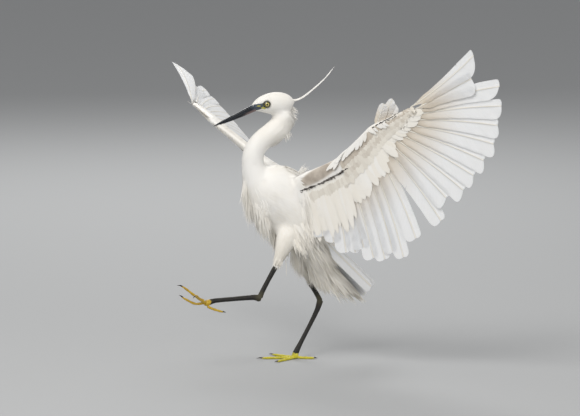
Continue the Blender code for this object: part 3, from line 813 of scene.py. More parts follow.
def make_plumage_group():
    """Plumage colour from the place on the bird and the feather's own tone."""
    group, given, made = node_group(
        "plumage_colour",
        [("Place", "NodeSocketVector", (0, 0, 0)), ("Tone", "NodeSocketFloat", 0.5)],
        [("Colour", "NodeSocketColor")],
    )
    place = given.outputs["Place"]
    broad = range_node(group, noise_node(group, place, 14.0), 0.38, 0.68)
    colour = mix_colour(group, math_node(group, "MULTIPLY", broad, 0.45), WHITE_FEATHER, CREAM_FEATHER)
    cool = range_node(group, given.outputs["Tone"], 0.55, 1.0)
    colour = mix_colour(group, math_node(group, "MULTIPLY", cool, 0.55), colour, BLUE_FEATHER)
    warm = range_node(group, given.outputs["Tone"], 0.45, 0.0)
    colour = mix_colour(group, math_node(group, "MULTIPLY", warm, 0.85), colour, CREAM_FEATHER)
    # low tones paint shade: beige under the wing, and below -0.9 the dark brown of a shadow line
    beige = range_node(group, given.outputs["Tone"], 0.05, -0.6)
    colour = mix_colour(group, math_node(group, "MULTIPLY", beige, 0.85), colour, UNDERWING_SHADE_BEIGE)
    spots = range_node(group, noise_node(group, place, 55.0, 2.0), 0.60, 0.80)
    colour = mix_colour(group, math_node(group, "MULTIPLY", spots, 0.16), colour, STAIN_GREY)
    # tones below -0.9 turn to the painted shadow brown
    colour = mix_colour(group, range_node(group, given.outputs["Tone"], -0.9, -1.2), colour, GAP_SHADOW_BROWN)
    link(group, colour, made.inputs["Colour"])
    return group


plumage_colour = make_plumage_group()


def plumage_node(tree, tone=None):
    """The plumage group placed in a material; gives its colour socket."""
    node = add_node(tree, "ShaderNodeGroup", node_tree=plumage_colour)
    link(tree, object_place(tree), node.inputs["Place"])
    link(tree, tone or attribute(tree, "tone"), node.inputs["Tone"])
    return node.outputs["Colour"]


print("plumage group with", len(plumage_colour.nodes), "nodes")

# %% [markdown]
# ## The finish of the skin
# Nearly all the skin hides under feathers and takes their colour. Only the face is bare: the lores between
# eye and bill are slate blue with fine wrinkles, and a yellow rim runs round the eye.

# %% Skin material and the finished skin
LORES_SLATE = (0.032, 0.045, 0.066, 1)
LORES_PALE = (0.08, 0.105, 0.135, 1)
BARE_YELLOW = (0.47, 0.44, 0.075, 1)
# painted shade: tan tones for the fold under the left wing, which lies in shade
FOLD_SHADE_TAN = (0.40, 0.345, 0.29, 1)
FOLD_SHADE_PALE = (0.56, 0.50, 0.43, 1)


def make_skin_material():
    """White plumage colour with painted shade in tan on the fold under the left wing, and the face's bare skin laid
    over it by two masks.
    """
    material, tree, shader = new_material("body_skin", 0.6, sheen=0.1)
    place = object_place(tree)
    fine = noise_node(tree, place, 420.0, 4.0)
    slate = mix_colour(tree, range_node(tree, fine, 0.35, 0.65), LORES_SLATE, LORES_PALE)
    fold = mix_colour(tree, range_node(tree, noise_node(tree, place, 60.0), 0.35, 0.7), FOLD_SHADE_TAN, FOLD_SHADE_PALE)
    colour = mix_colour(tree, attribute(tree, "fold"), plumage_node(tree), fold)
    colour = mix_colour(tree, attribute(tree, "lores"), colour, slate)
    colour = mix_colour(tree, attribute(tree, "yellow_skin"), colour, BARE_YELLOW)
    link(tree, colour, shader.inputs["Base Color"])
    bump(tree, shader, noise_node(tree, place, 700.0, 3.0), 0.5, 0.0004)
    return material


skin_material = make_skin_material()
body_skin = add_piece("body_skin", body_mesh, [skin_material], BODY_FLESH + WING_FLESH)
print("body skin stands for", len(BODY_FLESH + WING_FLESH), "solids")

# %% [markdown]
# ## The bill
# A long dagger, higher than wide, in two halves that meet along a straight gape. One loft gives the whole
# bill; a cut along the gape makes each half, and its open side is closed. The nostril is a slit in a shallow
# groove near the forehead. Horn is dark and glossy, paler and blue-grey where it meets the face.

# %% Bill
BILL_KEYS = (
    (-54, 444.6, 7.6, 6.6),
    (-61, 442, 6.6, 5.4),
    (-82, 432, 5.5, 4.3),
    (-104, 422, 4.2, 3.15),
    (-124, 413.5, 2.1, 1.7),
    (-133.5, 409.2, 0.4, 0.4),
)
GAPE = 0.12 * MM
BILL_BASE = Vector(seen(-61, 442))
BILL_TIP = Vector(seen(-134, 409))
SIDEWAYS = Vector((0, 1, 0))
bill_way = (BILL_TIP - BILL_BASE).normalized()
bill_up = bill_way.cross(SIDEWAYS).normalized()
if bill_up.z < 0:
    bill_up = -bill_up


def bill_half(upper):
    """One half of the bill, cut off the whole along the gape and closed."""
    rows = smooth_line(BILL_KEYS, 18)
    shape = bmesh.new()
    grow_loft(shape, [seen(r[0], r[1]) for r in rows], rows[:, 3] * MM, rows[:, 2] * MM, SIDEWAYS, 32)
    sign = 1 if upper else -1
    cut_at = BILL_BASE + bill_up * (GAPE * sign)
    everything = list(shape.verts) + list(shape.edges) + list(shape.faces)
    cut = bmesh.ops.bisect_plane(
        shape, geom=everything, plane_co=cut_at, plane_no=bill_up, clear_outer=not upper, clear_inner=upper
    )["geom_cut"]
    rim = [part for part in cut if isinstance(part, bmesh.types.BMEdge)]
    bmesh.ops.contextual_create(shape, geom=rim)
    bmesh.ops.recalc_face_normals(shape, faces=shape.faces)
    return shape


NOSTRIL_START = 9 * MM  # along the bill from its base
NOSTRIL_LENGTH = 8 * MM
NOSTRIL_OVER_GAPE = 2.1 * MM


def press_nostrils(mesh):
    """Sinks a groove with a narrow slit into each side of the upper half."""
    points = mesh_points(mesh)
    rel = points - np.array(BILL_BASE)
    run = rel @ np.array(bill_way)
    high = rel @ np.array(bill_up) - (run * -0.02)
    share = (run - NOSTRIL_START) / NOSTRIL_LENGTH
    inside = blur_step(share, -0.5, 0.1) * (1 - blur_step(share, 0.9, 3.2))
    groove = inside * np.exp(-(((high - NOSTRIL_OVER_GAPE) / (0.9 * MM)) ** 2))
    sign = np.sign(points[:, 1] - MIDLINE_Y)
    points[:, 1] -= sign * groove * 0.55 * MM
    set_points(mesh, points)


def make_bill_material():
    """Glossy dark horn, blue-grey at the face and faintly pink along the lower edge there."""
    material, tree, shader = new_material("bill_horn", 0.25, coat=0.2, specular=0.35)
    place = object_place(tree)
    streaks = noise_node(tree, place, 160.0, 4.0)
    horn = mix_colour(tree, range_node(tree, streaks, 0.3, 0.7), (0.004, 0.006, 0.010, 1), (0.010, 0.014, 0.021, 1))
    colour = mix_colour(tree, attribute(tree, "root_tint"), horn, (0.035, 0.05, 0.072, 1))
    colour = mix_colour(tree, attribute(tree, "pink_tint"), colour, (0.24, 0.165, 0.155, 1))
    link(tree, colour, shader.inputs["Base Color"])
    link(tree, range_node(tree, streaks, 0.2, 0.8, 0.18, 0.3), shader.inputs["Roughness"])
    bump(tree, shader, streaks, 0.06, 0.0003)
    return material


bill_material = make_bill_material()
for name, upper in (("bill_upper", True), ("bill_lower", False)):
    bill_mesh = bpy.data.meshes.new(f"{name}_horn")
    half = bill_half(upper)
    half.to_mesh(bill_mesh)
    half.free()
    if upper:
        press_nostrils(bill_mesh)
    points = mesh_points(bill_mesh)
    rel = points - np.array(BILL_BASE)
    run = rel @ np.array(bill_way) / MM
    low = -(rel @ np.array(bill_up)) / MM
    paint(bill_mesh, "root_tint", (1 - blur_step(run, 1, 13)) * 0.9)
    pink = (1 - blur_step(run, 10, 30)) * blur_step(low, 0.5, 3.0) * 0.75
    paint(bill_mesh, "pink_tint", pink * (0 if upper else 1))
    add_piece(f"{name}_horn", bill_mesh, [bill_material], [name])
    print(name, len(bill_mesh.polygons), "faces")

# %% [markdown]
# ## Eyes and lids
# The eye is a ball with a black pupil in a pale yellow iris; only its front shows, framed by thin dark lids
# with a yellow rim. The colours are rings round the eye's axis, so each ball carries the angle from its axis
# at every vertex. Each lid is one profile spun round that axis.

# %% Eyes
EYE_RADIUS = 6.5 * MM
EYE_AXIS = (-0.2, 1.0, 0.04)  # forwards, outwards, upwards
PUPIL_EDGE = 14.0  # degrees from the axis
IRIS_EDGE = 33.0


def eye_facts(name, side):
    """An eyeball's middle and the way it looks."""
    low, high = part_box(name)
    return (low + high) / 2, Vector((EYE_AXIS[0], EYE_AXIS[1] * side, EYE_AXIS[2])).normalized()


def make_eye_material():
    """Black pupil, yellow iris with a darker rim, dark outside it, under a wet coat."""
    material, tree, shader = new_material("eye", 0.08, coat=1.0)
    ramp = add_node(tree, "ShaderNodeValToRGB")
    stops = (
        (0.0, (0.004, 0.004, 0.004, 1)),
        ((PUPIL_EDGE - 1) / 90, (0.004, 0.004, 0.004, 1)),
        ((PUPIL_EDGE + 1) / 90, (0.42, 0.33, 0.05, 1)),
        ((PUPIL_EDGE + 6) / 90, (0.62, 0.54, 0.14, 1)),
        ((IRIS_EDGE - 5) / 90, (0.52, 0.43, 0.09, 1)),
        ((IRIS_EDGE - 1) / 90, (0.16, 0.12, 0.03, 1)),
        ((IRIS_EDGE + 2) / 90, (0.01, 0.01, 0.01, 1)),
    )
    ramp.color_ramp.elements[0].color = stops[0][1]
    ramp.color_ramp.elements[1].position, ramp.color_ramp.elements[1].color = stops[-1]
    for position, colour in stops[1:-1]:
        ramp.color_ramp.elements.new(position).color = colour
    flecks = noise_node(tree, object_place(tree), 900.0, 2.0)
    wobble = math_node(tree, "MULTIPLY", math_node(tree, "SUBTRACT", flecks, 0.5), 0.02)
    link(tree, math_node(tree, "ADD", attribute(tree, "from_axis"), wobble), ramp.inputs["Fac"])
    link(tree, ramp.outputs["Color"], shader.inputs["Base Color"])
    return material


def make_lid_material():
    """Thin dark skin with a yellow tint."""
    material, tree, shader = new_material("eyelid", 0.45)
    fine = range_node(tree, noise_node(tree, object_place(tree), 600.0), 0.35, 0.65)
    link(tree, mix_colour(tree, fine, (0.05, 0.052, 0.05, 1), (0.14, 0.135, 0.08, 1)), shader.inputs["Base Color"])
    bump(tree, shader, fine, 0.4, 0.0003)
    return material


# A lid's profile: out from the eye's axis and forward of the eyeball's middle, in mm
LID_PROFILE = ((4.15, 4.6), (4.2, 5.15), (4.5, 5.3), (4.85, 5.0), (5.25, 4.4), (5.65, 3.6), (5.95, 2.4), (5.0, 2.4))
LID_STEPS = 48
LID_LENGTHENED = 1.07
eye_material = make_eye_material()
lid_material = make_lid_material()
for side_name, side in SIDES.items():
    centre, axis = eye_facts(f"eye_{side_name}", side)
    turn = axis.to_track_quat("Z", "Y").to_matrix().to_4x4()
    shape = bmesh.new()
    bmesh.ops.create_uvsphere(shape, u_segments=48, v_segments=40, radius=EYE_RADIUS)
    from_axis = [math.degrees(v.co.angle(Vector((0, 0, 1)))) / 90 for v in shape.verts]
    bmesh.ops.transform(shape, matrix=Matrix.Translation(centre) @ turn, verts=shape.verts)
    eye_mesh = bpy.data.meshes.new("eye")
    shape.to_mesh(eye_mesh)
    shape.free()
    paint(eye_mesh, "from_axis", from_axis)
    add_piece(f"eye_ball_{side_name}", eye_mesh, [eye_material], [f"eye_{side_name}"])
    lid = bmesh.new()
    corners = [lid.verts.new((r * MM, 0, h * MM)) for r, h in LID_PROFILE]
    rim = [lid.edges.new((corners[i - 1], corners[i])) for i in range(len(corners))]
    bmesh.ops.spin(
        lid, geom=corners + rim, axis=(0, 0, 1), cent=(0, 0, 0), angle=math.tau, steps=LID_STEPS, use_merge=True
    )
    bmesh.ops.remove_doubles(lid, verts=lid.verts, dist=1e-6)
    bmesh.ops.recalc_face_normals(lid, faces=lid.faces)
    along_bill = turn.inverted().to_3x3() @ bill_way
    lengthen = Matrix.Scale(LID_LENGTHENED, 4, Vector((along_bill.x, along_bill.y, 0)).normalized())
    bmesh.ops.transform(lid, matrix=Matrix.Translation(centre) @ turn @ lengthen, verts=lid.verts)
    add_piece(f"eyelid_{side_name}", lid, [lid_material])
print("two eyes with lids")

# %% [markdown]
# ## Legs and feet
# A wader's leg is bare from above the ankle: black shank and tarsus with a row of broad scutes down the front,
# and yellow toes with smaller scutes on top and soft pads below. Copies of the leg's solids and lofted toes are
# remeshed into one skin for each leg, so toes grow out of the foot without a seam. The grooves between scutes
# are pressed into the mesh, and the standing foot is flattened where it meets the floor.

# %% Toes and claws
TOE_NAMES = ("inner", "middle", "outer", "hind")
# Toes of the raised left foot, each as places in the drawing with their distance out from the midline
LEFT_TOES = {
    "inner": ((-151, 99.5, -33), (-166, 98.5, -27), (-182, 106, -19), (-195, 114, -14)),
    "middle": ((-150.5, 104, -37), (-162, 109, -37), (-186, 127, -35), (-198, 131, -33)),
    "outer": ((-149.3, 100.8, -40.6), (-158, 106, -53), (-164, 112, -72), (-170, 108, -86)),
    "hind": ((-144.5, 93.5, -39), (-134, 89, -41), (-119, 84.5, -43), (-112, 83, -44)),
}
LEFT_FOOT_JOINT = (-149, 100, -37)
# Toes of the standing right foot: length with the claw, and how far each turns out from straight ahead
RIGHT_TOES = {"inner": (56, -30), "middle": (68, 16), "outer": (60, 60), "hind": (40, 205)}
RIGHT_FOOT_JOINT = (8.4, 3.5, 1)
TOE_START = 5.2 * MM
TOE_HEIGHTS = ((0, 3), (0.33, 2.4), (0.8, 2.1), (1, 0.65))
# Share of a toe's length and its radius (mm): it swells at each joint's pad
TOE_SHAPE = ((0, 2.2), (0.13, 2.7), (0.29, 2.1), (0.4, 2.7), (0.55, 2.0), (0.64, 2.4), (0.77, 1.8), (0.85, 1.35))
CLAW_FROM = 0.8
CLAW_RADII = ((0, 1.45), (0.25, 1.35), (0.6, 0.85), (1, 0.12))
CLAW_DROP = 1.4 * MM
LEG_SWELL = 0.35 * MM
LEG_VOXEL = 0.6 * MM


def toe_keys(side, toe):
    """The places that a toe's line passes through, from the foot to the claw's tip."""
    if side == "left":
        return [seen(*place) for place in LEFT_TOES[toe]]
    length, turn = RIGHT_TOES[toe]
    heading = math.radians(turn)
    way = Vector((-math.cos(heading), math.sin(heading), 0))
    joint = seen(*RIGHT_FOOT_JOINT)
    flat = [joint + way * (TOE_START + (length * MM - TOE_START) * share) for share, _ in TOE_HEIGHTS]
    return [Vector((place.x, place.y, height * MM)) for place, (_, height) in zip(flat, TOE_HEIGHTS)]


def part_of_line(line, first, last, count):
    """Evenly spaced points between two shares of a line's length."""
    line = np.array([tuple(p) for p in line])
    run = np.concatenate([[0], np.cumsum(np.linalg.norm(np.diff(line, axis=0), axis=1))])
    wanted = np.linspace(first, last, count) * run[-1]
    return [Vector([np.interp(d, run, line[:, k]) for k in range(3)]) for d in wanted]


def toe_line(side, toe):
    """A toe's smooth line, the last part bending down as a claw."""
    return [Vector(row) for row in smooth_line([tuple(key) for key in toe_keys(side, toe)], 10)]


def grow_toe(shape, line, sideways):
    """Lofts a toe without its claw, out of the foot's joint."""
    points = part_of_line(line, 0, TOE_SHAPE[-1][0], 26)
    shares = np.linspace(0, TOE_SHAPE[-1][0], 26)
    radii = np.interp(shares, [s for s, _ in TOE_SHAPE], [r * MM for _, r in TOE_SHAPE])
    grow_loft(shape, points, radii, radii * 0.92, sideways, 16)


def grow_claw(shape, line, sideways, on_floor):
    """Lofts a claw that hooks down over the toe's end."""
    points = part_of_line(line, CLAW_FROM, 1, 12)
    shares = np.linspace(0, 1, 12)
    radii = np.interp(shares, [s for s, _ in CLAW_RADII], [r * MM for _, r in CLAW_RADII])
    for point, share, radius in zip(points, shares, radii):
        point.z += (1.1 * math.sin(math.pi * share * 0.7)) * MM
        point.z -= 0 if on_floor else CLAW_DROP * share**2
        if on_floor:
            point.z = max(point.z, radius * 1.05)
    grow_loft(shape, points, radii * 0.8, radii, sideways, 12)


TOES = {side: {toe: toe_line(side, toe) for toe in TOE_NAMES} for side in SIDES}
for side in SIDES:
    claws = bmesh.new()
    for toe, line in TOES[side].items():
        grow_claw(claws, line, Vector((0, 0, 1)).cross(line[-1] - line[0]).normalized(), side == "right")
    CLAW_MESH = bpy.data.meshes.new(f"{side}_claws")
    claws.to_mesh(CLAW_MESH)
    claws.free()
    print(side, "claws:", len(CLAW_MESH.polygons), "faces")
    TOES[side]["claws"] = CLAW_MESH

# %% One skin for each leg
SHANK_TOP = {"left": (-25.3, 163, -34), "right": (36.3, 133, 21)}
ANKLE = {"left": (-52.5, 110, -36), "right": (52, 106, 16)}
FOOT_JOINT = {"left": LEFT_FOOT_JOINT, "right": RIGHT_FOOT_JOINT}
LEG_FRONT = {"left": Vector((-0.15, 0, 1)), "right": Vector((-1, 0.1, 0.1))}
# The ankle's knob joins shank and tarsus: across, height, out, half depth and half width
ANKLE_KEYS = {
    "left": ((-43, 131, -35.3, 3.9, 3.5), (-49, 118.5, -36, 4.4, 3.9), (-52.5, 109.5, -36, 4.9, 4.4)),
    "right": ((43.5, 121, 19, 3.9, 3.5), (49, 111.5, 17, 4.4, 3.9), (52.5, 104, 16, 4.9, 4.4)),
}
TARSUS_SCUTE = 4.2
TOE_SCUTE = 2.9
GROOVE_DEPTH = 0.3 * MM
FLAT_UNDER = 0.55 * MM  # all of the standing foot that lies lower than this rests on the floor


def leg_segments(side):
    """The straight runs of a leg: shank, tarsus and toes, with the scute length on each."""
    top, ankle, joint = (Vector(seen(*place[side])) for place in (SHANK_TOP, ANKLE, FOOT_JOINT))
    runs = [([top, ankle], TARSUS_SCUTE, LEG_FRONT[side]), ([ankle, joint], TARSUS_SCUTE, LEG_FRONT[side])]
    for toe in TOE_NAMES:
        runs.append((TOES[side][toe], TOE_SCUTE, Vector((0, 0, 1))))
    return runs


def leg_coordinates(side, points):
    """For each point of a leg: its run's number, the distance along it (mm) and the way its scutes face."""
    best = np.full(len(points), 1e9)
    number = np.zeros(len(points), int)
    distance = np.zeros(len(points))
    for index, (line, _, _) in enumerate(leg_segments(side)):
        walked = 0.0
        for start, end in zip(line, line[1:]):
            a, run = np.array(start), np.array(end - start)
            t = np.clip((points - a) @ run / (run @ run), 0, 1)
            off = np.linalg.norm(points - a - t[:, None] * run, axis=1)
            nearer = off < best
            best = np.where(nearer, off, best)
            number = np.where(nearer, index, number)
            distance = np.where(nearer, (walked + t * np.linalg.norm(run)) / MM, distance)
            walked += np.linalg.norm(run)
    return number, distance


def make_leg(side):
    """Shank, tarsus and toes as one skin with pressed scutes."""
    shape = merged_copy([f"{side}_shank", f"{side}_tarsus"], LEG_SWELL)
    ankle_rows = smooth_line(ANKLE_KEYS[side], 4)
    centres = [seen(row[0], row[1], row[2]) for row in ankle_rows]
    grow_loft(shape, centres, ankle_rows[:, 4] * MM, ankle_rows[:, 3] * MM, SIDEWAYS, 16)
    for toe in TOE_NAMES:
        line = TOES[side][toe]
        grow_toe(shape, line, Vector((0, 0, 1)).cross(line[-1] - line[0]).normalized())
    shape = remeshed(shape, LEG_VOXEL)
    smoothed(shape, shape.verts, 5)
    mesh = bpy.data.meshes.new(f"{side}_leg")
    shape.to_mesh(mesh)
    shape.free()
    points, normals = mesh_points(mesh), mesh_normals(mesh)
    number, distance = leg_coordinates(side, points)
    runs = leg_segments(side)
    fronts = np.array([tuple(run[2].normalized()) for run in runs])[number]
    periods = np.array([run[1] for run in runs])[number]
    facing = blur_step((normals * fronts).sum(1), 0.1, 0.6)
    wave = distance / periods
    from_groove = np.abs(wave - np.round(wave)) * periods
    groove = np.exp(-((from_groove / 0.42) ** 2)) * facing
    points -= normals * (groove * GROOVE_DEPTH)[:, None]
    if side == "right":
        points[:, 2] = np.where(points[:, 2] < FLAT_UNDER, 0, points[:, 2])
    set_points(mesh, points)
    joint = np.array(seen(*FOOT_JOINT[side]))
    ankle = np.array(seen(*ANKLE[side]))
    from_joint = np.linalg.norm(points - joint, axis=1) / MM
    on_toe = number >= 2
    yellow_foot = np.where(on_toe, 1, 1 - blur_step(from_joint, 6, 15))
    paint(mesh, "yellow_foot", yellow_foot)
    paint(mesh, "groove", groove)
    paint(mesh, "knee_tint", 1 - blur_step(np.linalg.norm(points - ankle, axis=1) / MM, 4, 15))
    paint(mesh, "raised", np.full(len(points), 1.0 if side == "left" else 0.0))
    return mesh


def make_leg_material():
    """Black scales on the leg and yellow ones on the foot, darker in the grooves."""
    material, tree, shader = new_material("leg_scales", 0.42, specular=0.35)
    place = object_place(tree)
    cells = add_node(tree, "ShaderNodeTexVoronoi", {"Scale": 820.0}, feature="DISTANCE_TO_EDGE")
    link(tree, place, cells.inputs["Vector"])
    plates = range_node(tree, cells.outputs["Distance"], 0.0, 0.25)
    blotch = noise_node(tree, place, 190.0, 4.0)
    black = mix_colour(tree, range_node(tree, blotch, 0.35, 0.7), (0.009, 0.009, 0.009, 1), (0.024, 0.022, 0.018, 1))
    knee = math_node(tree, "MULTIPLY", attribute(tree, "knee_tint"), 0.55)
    black = mix_colour(tree, knee, black, (0.095, 0.085, 0.045, 1))
    lemon = mix_colour(tree, range_node(tree, blotch, 0.3, 0.7), (0.62, 0.55, 0.03, 1), (0.74, 0.66, 0.08, 1))
    orange = mix_colour(tree, range_node(tree, blotch, 0.3, 0.7), (0.50, 0.30, 0.018, 1), (0.62, 0.42, 0.04, 1))
    foot = mix_colour(tree, attribute(tree, "raised"), lemon, orange)
    edge = math_node(tree, "ADD", attribute(tree, "yellow_foot"), math_node(tree, "MULTIPLY", blotch, 0.8))
    foot_mask = range_node(tree, edge, 0.75, 1.05)
    colour = mix_colour(tree, foot_mask, black, foot)
    dirt = math_node(tree, "MULTIPLY", attribute(tree, "groove"), 0.6)
    colour = mix_colour(tree, dirt, colour, (0.06, 0.045, 0.02, 1))
    link(tree, colour, shader.inputs["Base Color"])
    link(tree, range_node(tree, blotch, 0.3, 0.7, 0.34, 0.55), shader.inputs["Roughness"])
    bump(tree, shader, plates, 0.35, 0.00025)
    return material


def make_claw_material():
    """Dark polished horn with brown streaks."""
    material, tree, shader = new_material("claw_horn", 0.3, coat=0.2)
    streaks = noise_node(tree, object_place(tree), 300.0, 3.0)
    colour = mix_colour(tree, range_node(tree, streaks, 0.3, 0.7), (0.014, 0.012, 0.01, 1), (0.055, 0.04, 0.025, 1))
    link(tree, colour, shader.inputs["Base Color"])
    link(tree, range_node(tree, streaks, 0.3, 0.7, 0.22, 0.4), shader.inputs["Roughness"])
    return material


leg_material = make_leg_material()
claw_material = make_claw_material()
for side in SIDES:
    stands_for = [f"{side}_shank", f"{side}_tarsus"] + [f"{side}_toe_{toe}" for toe in TOE_NAMES]
    leg_mesh = make_leg(side)
    add_piece(f"{side}_leg_skin", leg_mesh, [leg_material], stands_for)
    add_piece(f"{side}_claws", TOES[side].pop("claws"), [claw_material])
    print(side, "leg:", len(leg_mesh.polygons), "faces")

# %% [markdown]
# ## Feathers by the thousand
# A bird's coat is far too many pieces to model by hand, and each is nearly the same: a thin closed blade along
# a shaft. So feathers are made as arrays: rings of a few points are placed along every shaft at once, and the
# rings of all feathers are joined into one mesh. Each feather keeps its tone, and a small patch of its own in
# the map OFBake, at its root's place on the skin unrolled, so that colours can be baked without mixing.


# %% The feather maker
class FeatherPile:
    """Collects closed blades, each a stack of rings between a base point and a tip point."""

    def __init__(self):
        self.points, self.faces, self.corners = [], [], []
        self.bake, self.vane, self.tones, self.normals, self.rims = [], [], [], [], []
        self.count = 0

    def add(self, rings, base, tip, bake, tone, vane=None, normals=None, edge_at=None):
        """rings is (feathers, rows, around, 3); bake is the map place of every point, tone one per feather."""
        number, rows, around, _ = rings.shape
        size = rows * around + 2
        blades = np.concatenate([rings.reshape(number, -1, 3), base[:, None], tip[:, None]], axis=1)
        here = np.arange(around)
        after = (here + 1) % around
        starts = np.arange(rows - 1)[:, None] * around
        quads = np.stack([starts + here, starts + after, starts + around + after, starts + around + here], -1)
        low = np.stack([np.full(around, rows * around), after, here], -1)
        last = (rows - 1) * around
        high = np.stack([np.full(around, rows * around + 1), last + here, last + after], -1)
        offsets = self.count + np.arange(number) * size
        for shape in (quads.reshape(-1, 4), low, high):
            moved = shape[None] + offsets[:, None, None]
            self.faces.append(moved.reshape(-1))
            self.corners.append(np.full(number * len(shape), shape.shape[1]))
            if normals is not None:
                under = np.repeat(np.arange(len(shape)) % around == around - 1, shape.shape[1])
                turned = normals[:, shape.reshape(-1)] * np.where(under, -1.0, 1.0)[None, :, None]
                self.normals.append(turned.reshape(-1, 3))
        self.points.append(blades.reshape(-1, 3))
        self.bake.append(bake.reshape(-1, 2))
        self.vane.append((vane if vane is not None else np.zeros((number, size, 2))).reshape(-1, 2))
        self.tones.append(np.repeat(tone, size))
        rim = np.zeros(size, int)
        one_edge, other_edge = edge_at or (0, around - 1)
        rim[one_edge : rows * around : around] = 1
        rim[other_edge : rows * around : around] = 2
        rim[-2:] = 3
        self.rims.append(np.tile(rim, number))
        self.count += number * size

    def piece(self, name, material, slot_name, stands_for=(), smooth=True):
        """Joins everything collected into one piece."""
        points, faces = np.concatenate(self.points), np.concatenate(self.faces)
        corners = np.concatenate(self.corners)
        mesh = bpy.data.meshes.new(name)
        mesh.vertices.add(len(points))
        mesh.vertices.foreach_set("co", points.astype(np.float32).ravel())
        mesh.loops.add(len(faces))
        mesh.loops.foreach_set("vertex_index", faces.astype(np.int32))
        mesh.polygons.add(len(corners))
        starts = np.concatenate([[0], np.cumsum(corners)[:-1]])
        mesh.polygons.foreach_set("loop_start", starts.astype(np.int32))
        mesh.update(calc_edges=True)
        for label, table in (("OFBake", self.bake), ("vane", self.vane)):
            layer = mesh.uv_layers.new(name=label)
            values = np.concatenate(table)[faces]
            layer.data.foreach_set("uv", values.astype(np.float32).ravel())
        paint(mesh, "tone", np.concatenate(self.tones))
        piece = add_piece(name, mesh, [material], stands_for, smooth)
        self.part_rims(mesh)
        triangles = int((corners - 2).sum())
        print(f"{name}: {triangles} triangles")
        return triangles

    def part_rims(self, mesh):
        """Sets a sharp edge between each feather's top and underside, and the blades' own soft normals."""
        if self.normals:
            layer = mesh.attributes.new("custom_normal", "FLOAT_VECTOR", "CORNER")
            layer.data.foreach_set("vector", np.concatenate(self.normals).astype(np.float32).ravel())
        ends = np.empty(len(mesh.edges) * 2, np.int32)
        mesh.edges.foreach_get("vertices", ends)
        first, last = np.concatenate(self.rims)[ends.reshape(-1, 2)].T
        sharp = (first > 0) & (last > 0) & ((first == last) | (first == 3) | (last == 3))
        mesh.attributes.new("sharp_edge", "BOOLEAN", "EDGE").data.foreach_set("value", sharp)
        mesh.update()


def unit(vectors):
    """Vectors scaled to length 1."""
    return vectors / np.maximum(np.linalg.norm(vectors, axis=-1, keepdims=True), 1e-12)


def square_to(vectors, axis):
    """The part of each vector that is square to its axis, scaled to length 1."""
    return unit(vectors - axis * (vectors * axis).sum(-1, keepdims=True))


triangle_total = 0
print("feather maker ready")

# %% [markdown]
# ## Flight feathers
# Each long wing and tail feather has a stiff shaft, a narrow outer web and a wide inner web, swept barbs and a
# round tip. Its outer web lies over its neighbour's inner web, so each vane is tilted a little about its shaft.
# Webs are as wide as the gap to the neighbour allows, as on a spread wing, and here and there the barbs have
# parted in a narrow slit.

# %% Shape of one vane
# Places across a vane: share of the web's width (outer web below 0), and whether the shaft's own width is used
VANE_COLUMNS = (-1.0, -0.82, -0.6, -0.36, "shaft-", 0.0, "shaft+", 0.2, 0.42, 0.64, 0.84, 1.0)
VANE_ROWS = 40
BARB_SWEEP = 0.55
WEB_THICKNESS = 0.32 * MM
SHAFT_WIDE = (1.25 * MM, 0.3 * MM)  # half width at the root and at the tip
SLITS = 1
QUILL_SHARE = 0.1
VANE_MAP_LENGTH = 0.2  # a feather this long (m) spans the whole map


def vane_rows(number):
    """Ring places along each vane, with slits: (places, outer web factor, inner web factor)."""
    steady = np.concatenate([np.linspace(0, 0.6, 16)[:-1], 0.6 + 0.4 * np.sin(np.linspace(0, 1, 25) * math.pi / 2)])
    steady[-1] = 0.997
    places = np.tile(steady, (number, 1))
    factors = np.ones((number, len(steady), 2))
    for _ in range(SLITS):
        at = chance.uniform(0.35, 0.93, number)
        web = chance.integers(0, 2, number)
        depth = chance.uniform(0.6, 0.95, number)
        extra = np.stack([at - 0.004, at, at + 0.003], 1)
        cut = np.ones((number, 3, 2))
        cut[np.arange(number), 1, web] = depth
        places = np.concatenate([places, extra], 1)
        factors = np.concatenate([factors, cut], 1)
    order = np.argsort(places, axis=1)
    places = np.take_along_axis(places, order, 1)
    factors = np.take_along_axis(factors, order[:, :, None], 1)
    return places, factors[:, :, 0], factors[:, :, 1]


def round_tip(places, notch, pointed):
    """How much of a web's width is left past its notch: round where pointed is 0, a long slope where it is 1."""
    share = np.clip((places - notch[:, None]) / (1 - notch[:, None]), 0, 1)
    return np.clip(1 - share**2.4, 0.0, 1) ** (0.5 + 0.75 * pointed[:, None])


def narrow_quill(places):
    """A web's width near the root, where the quill is bare."""
    return 0.16 + 0.84 * blur_step(places, QUILL_SHARE * 0.3, QUILL_SHARE * 2)


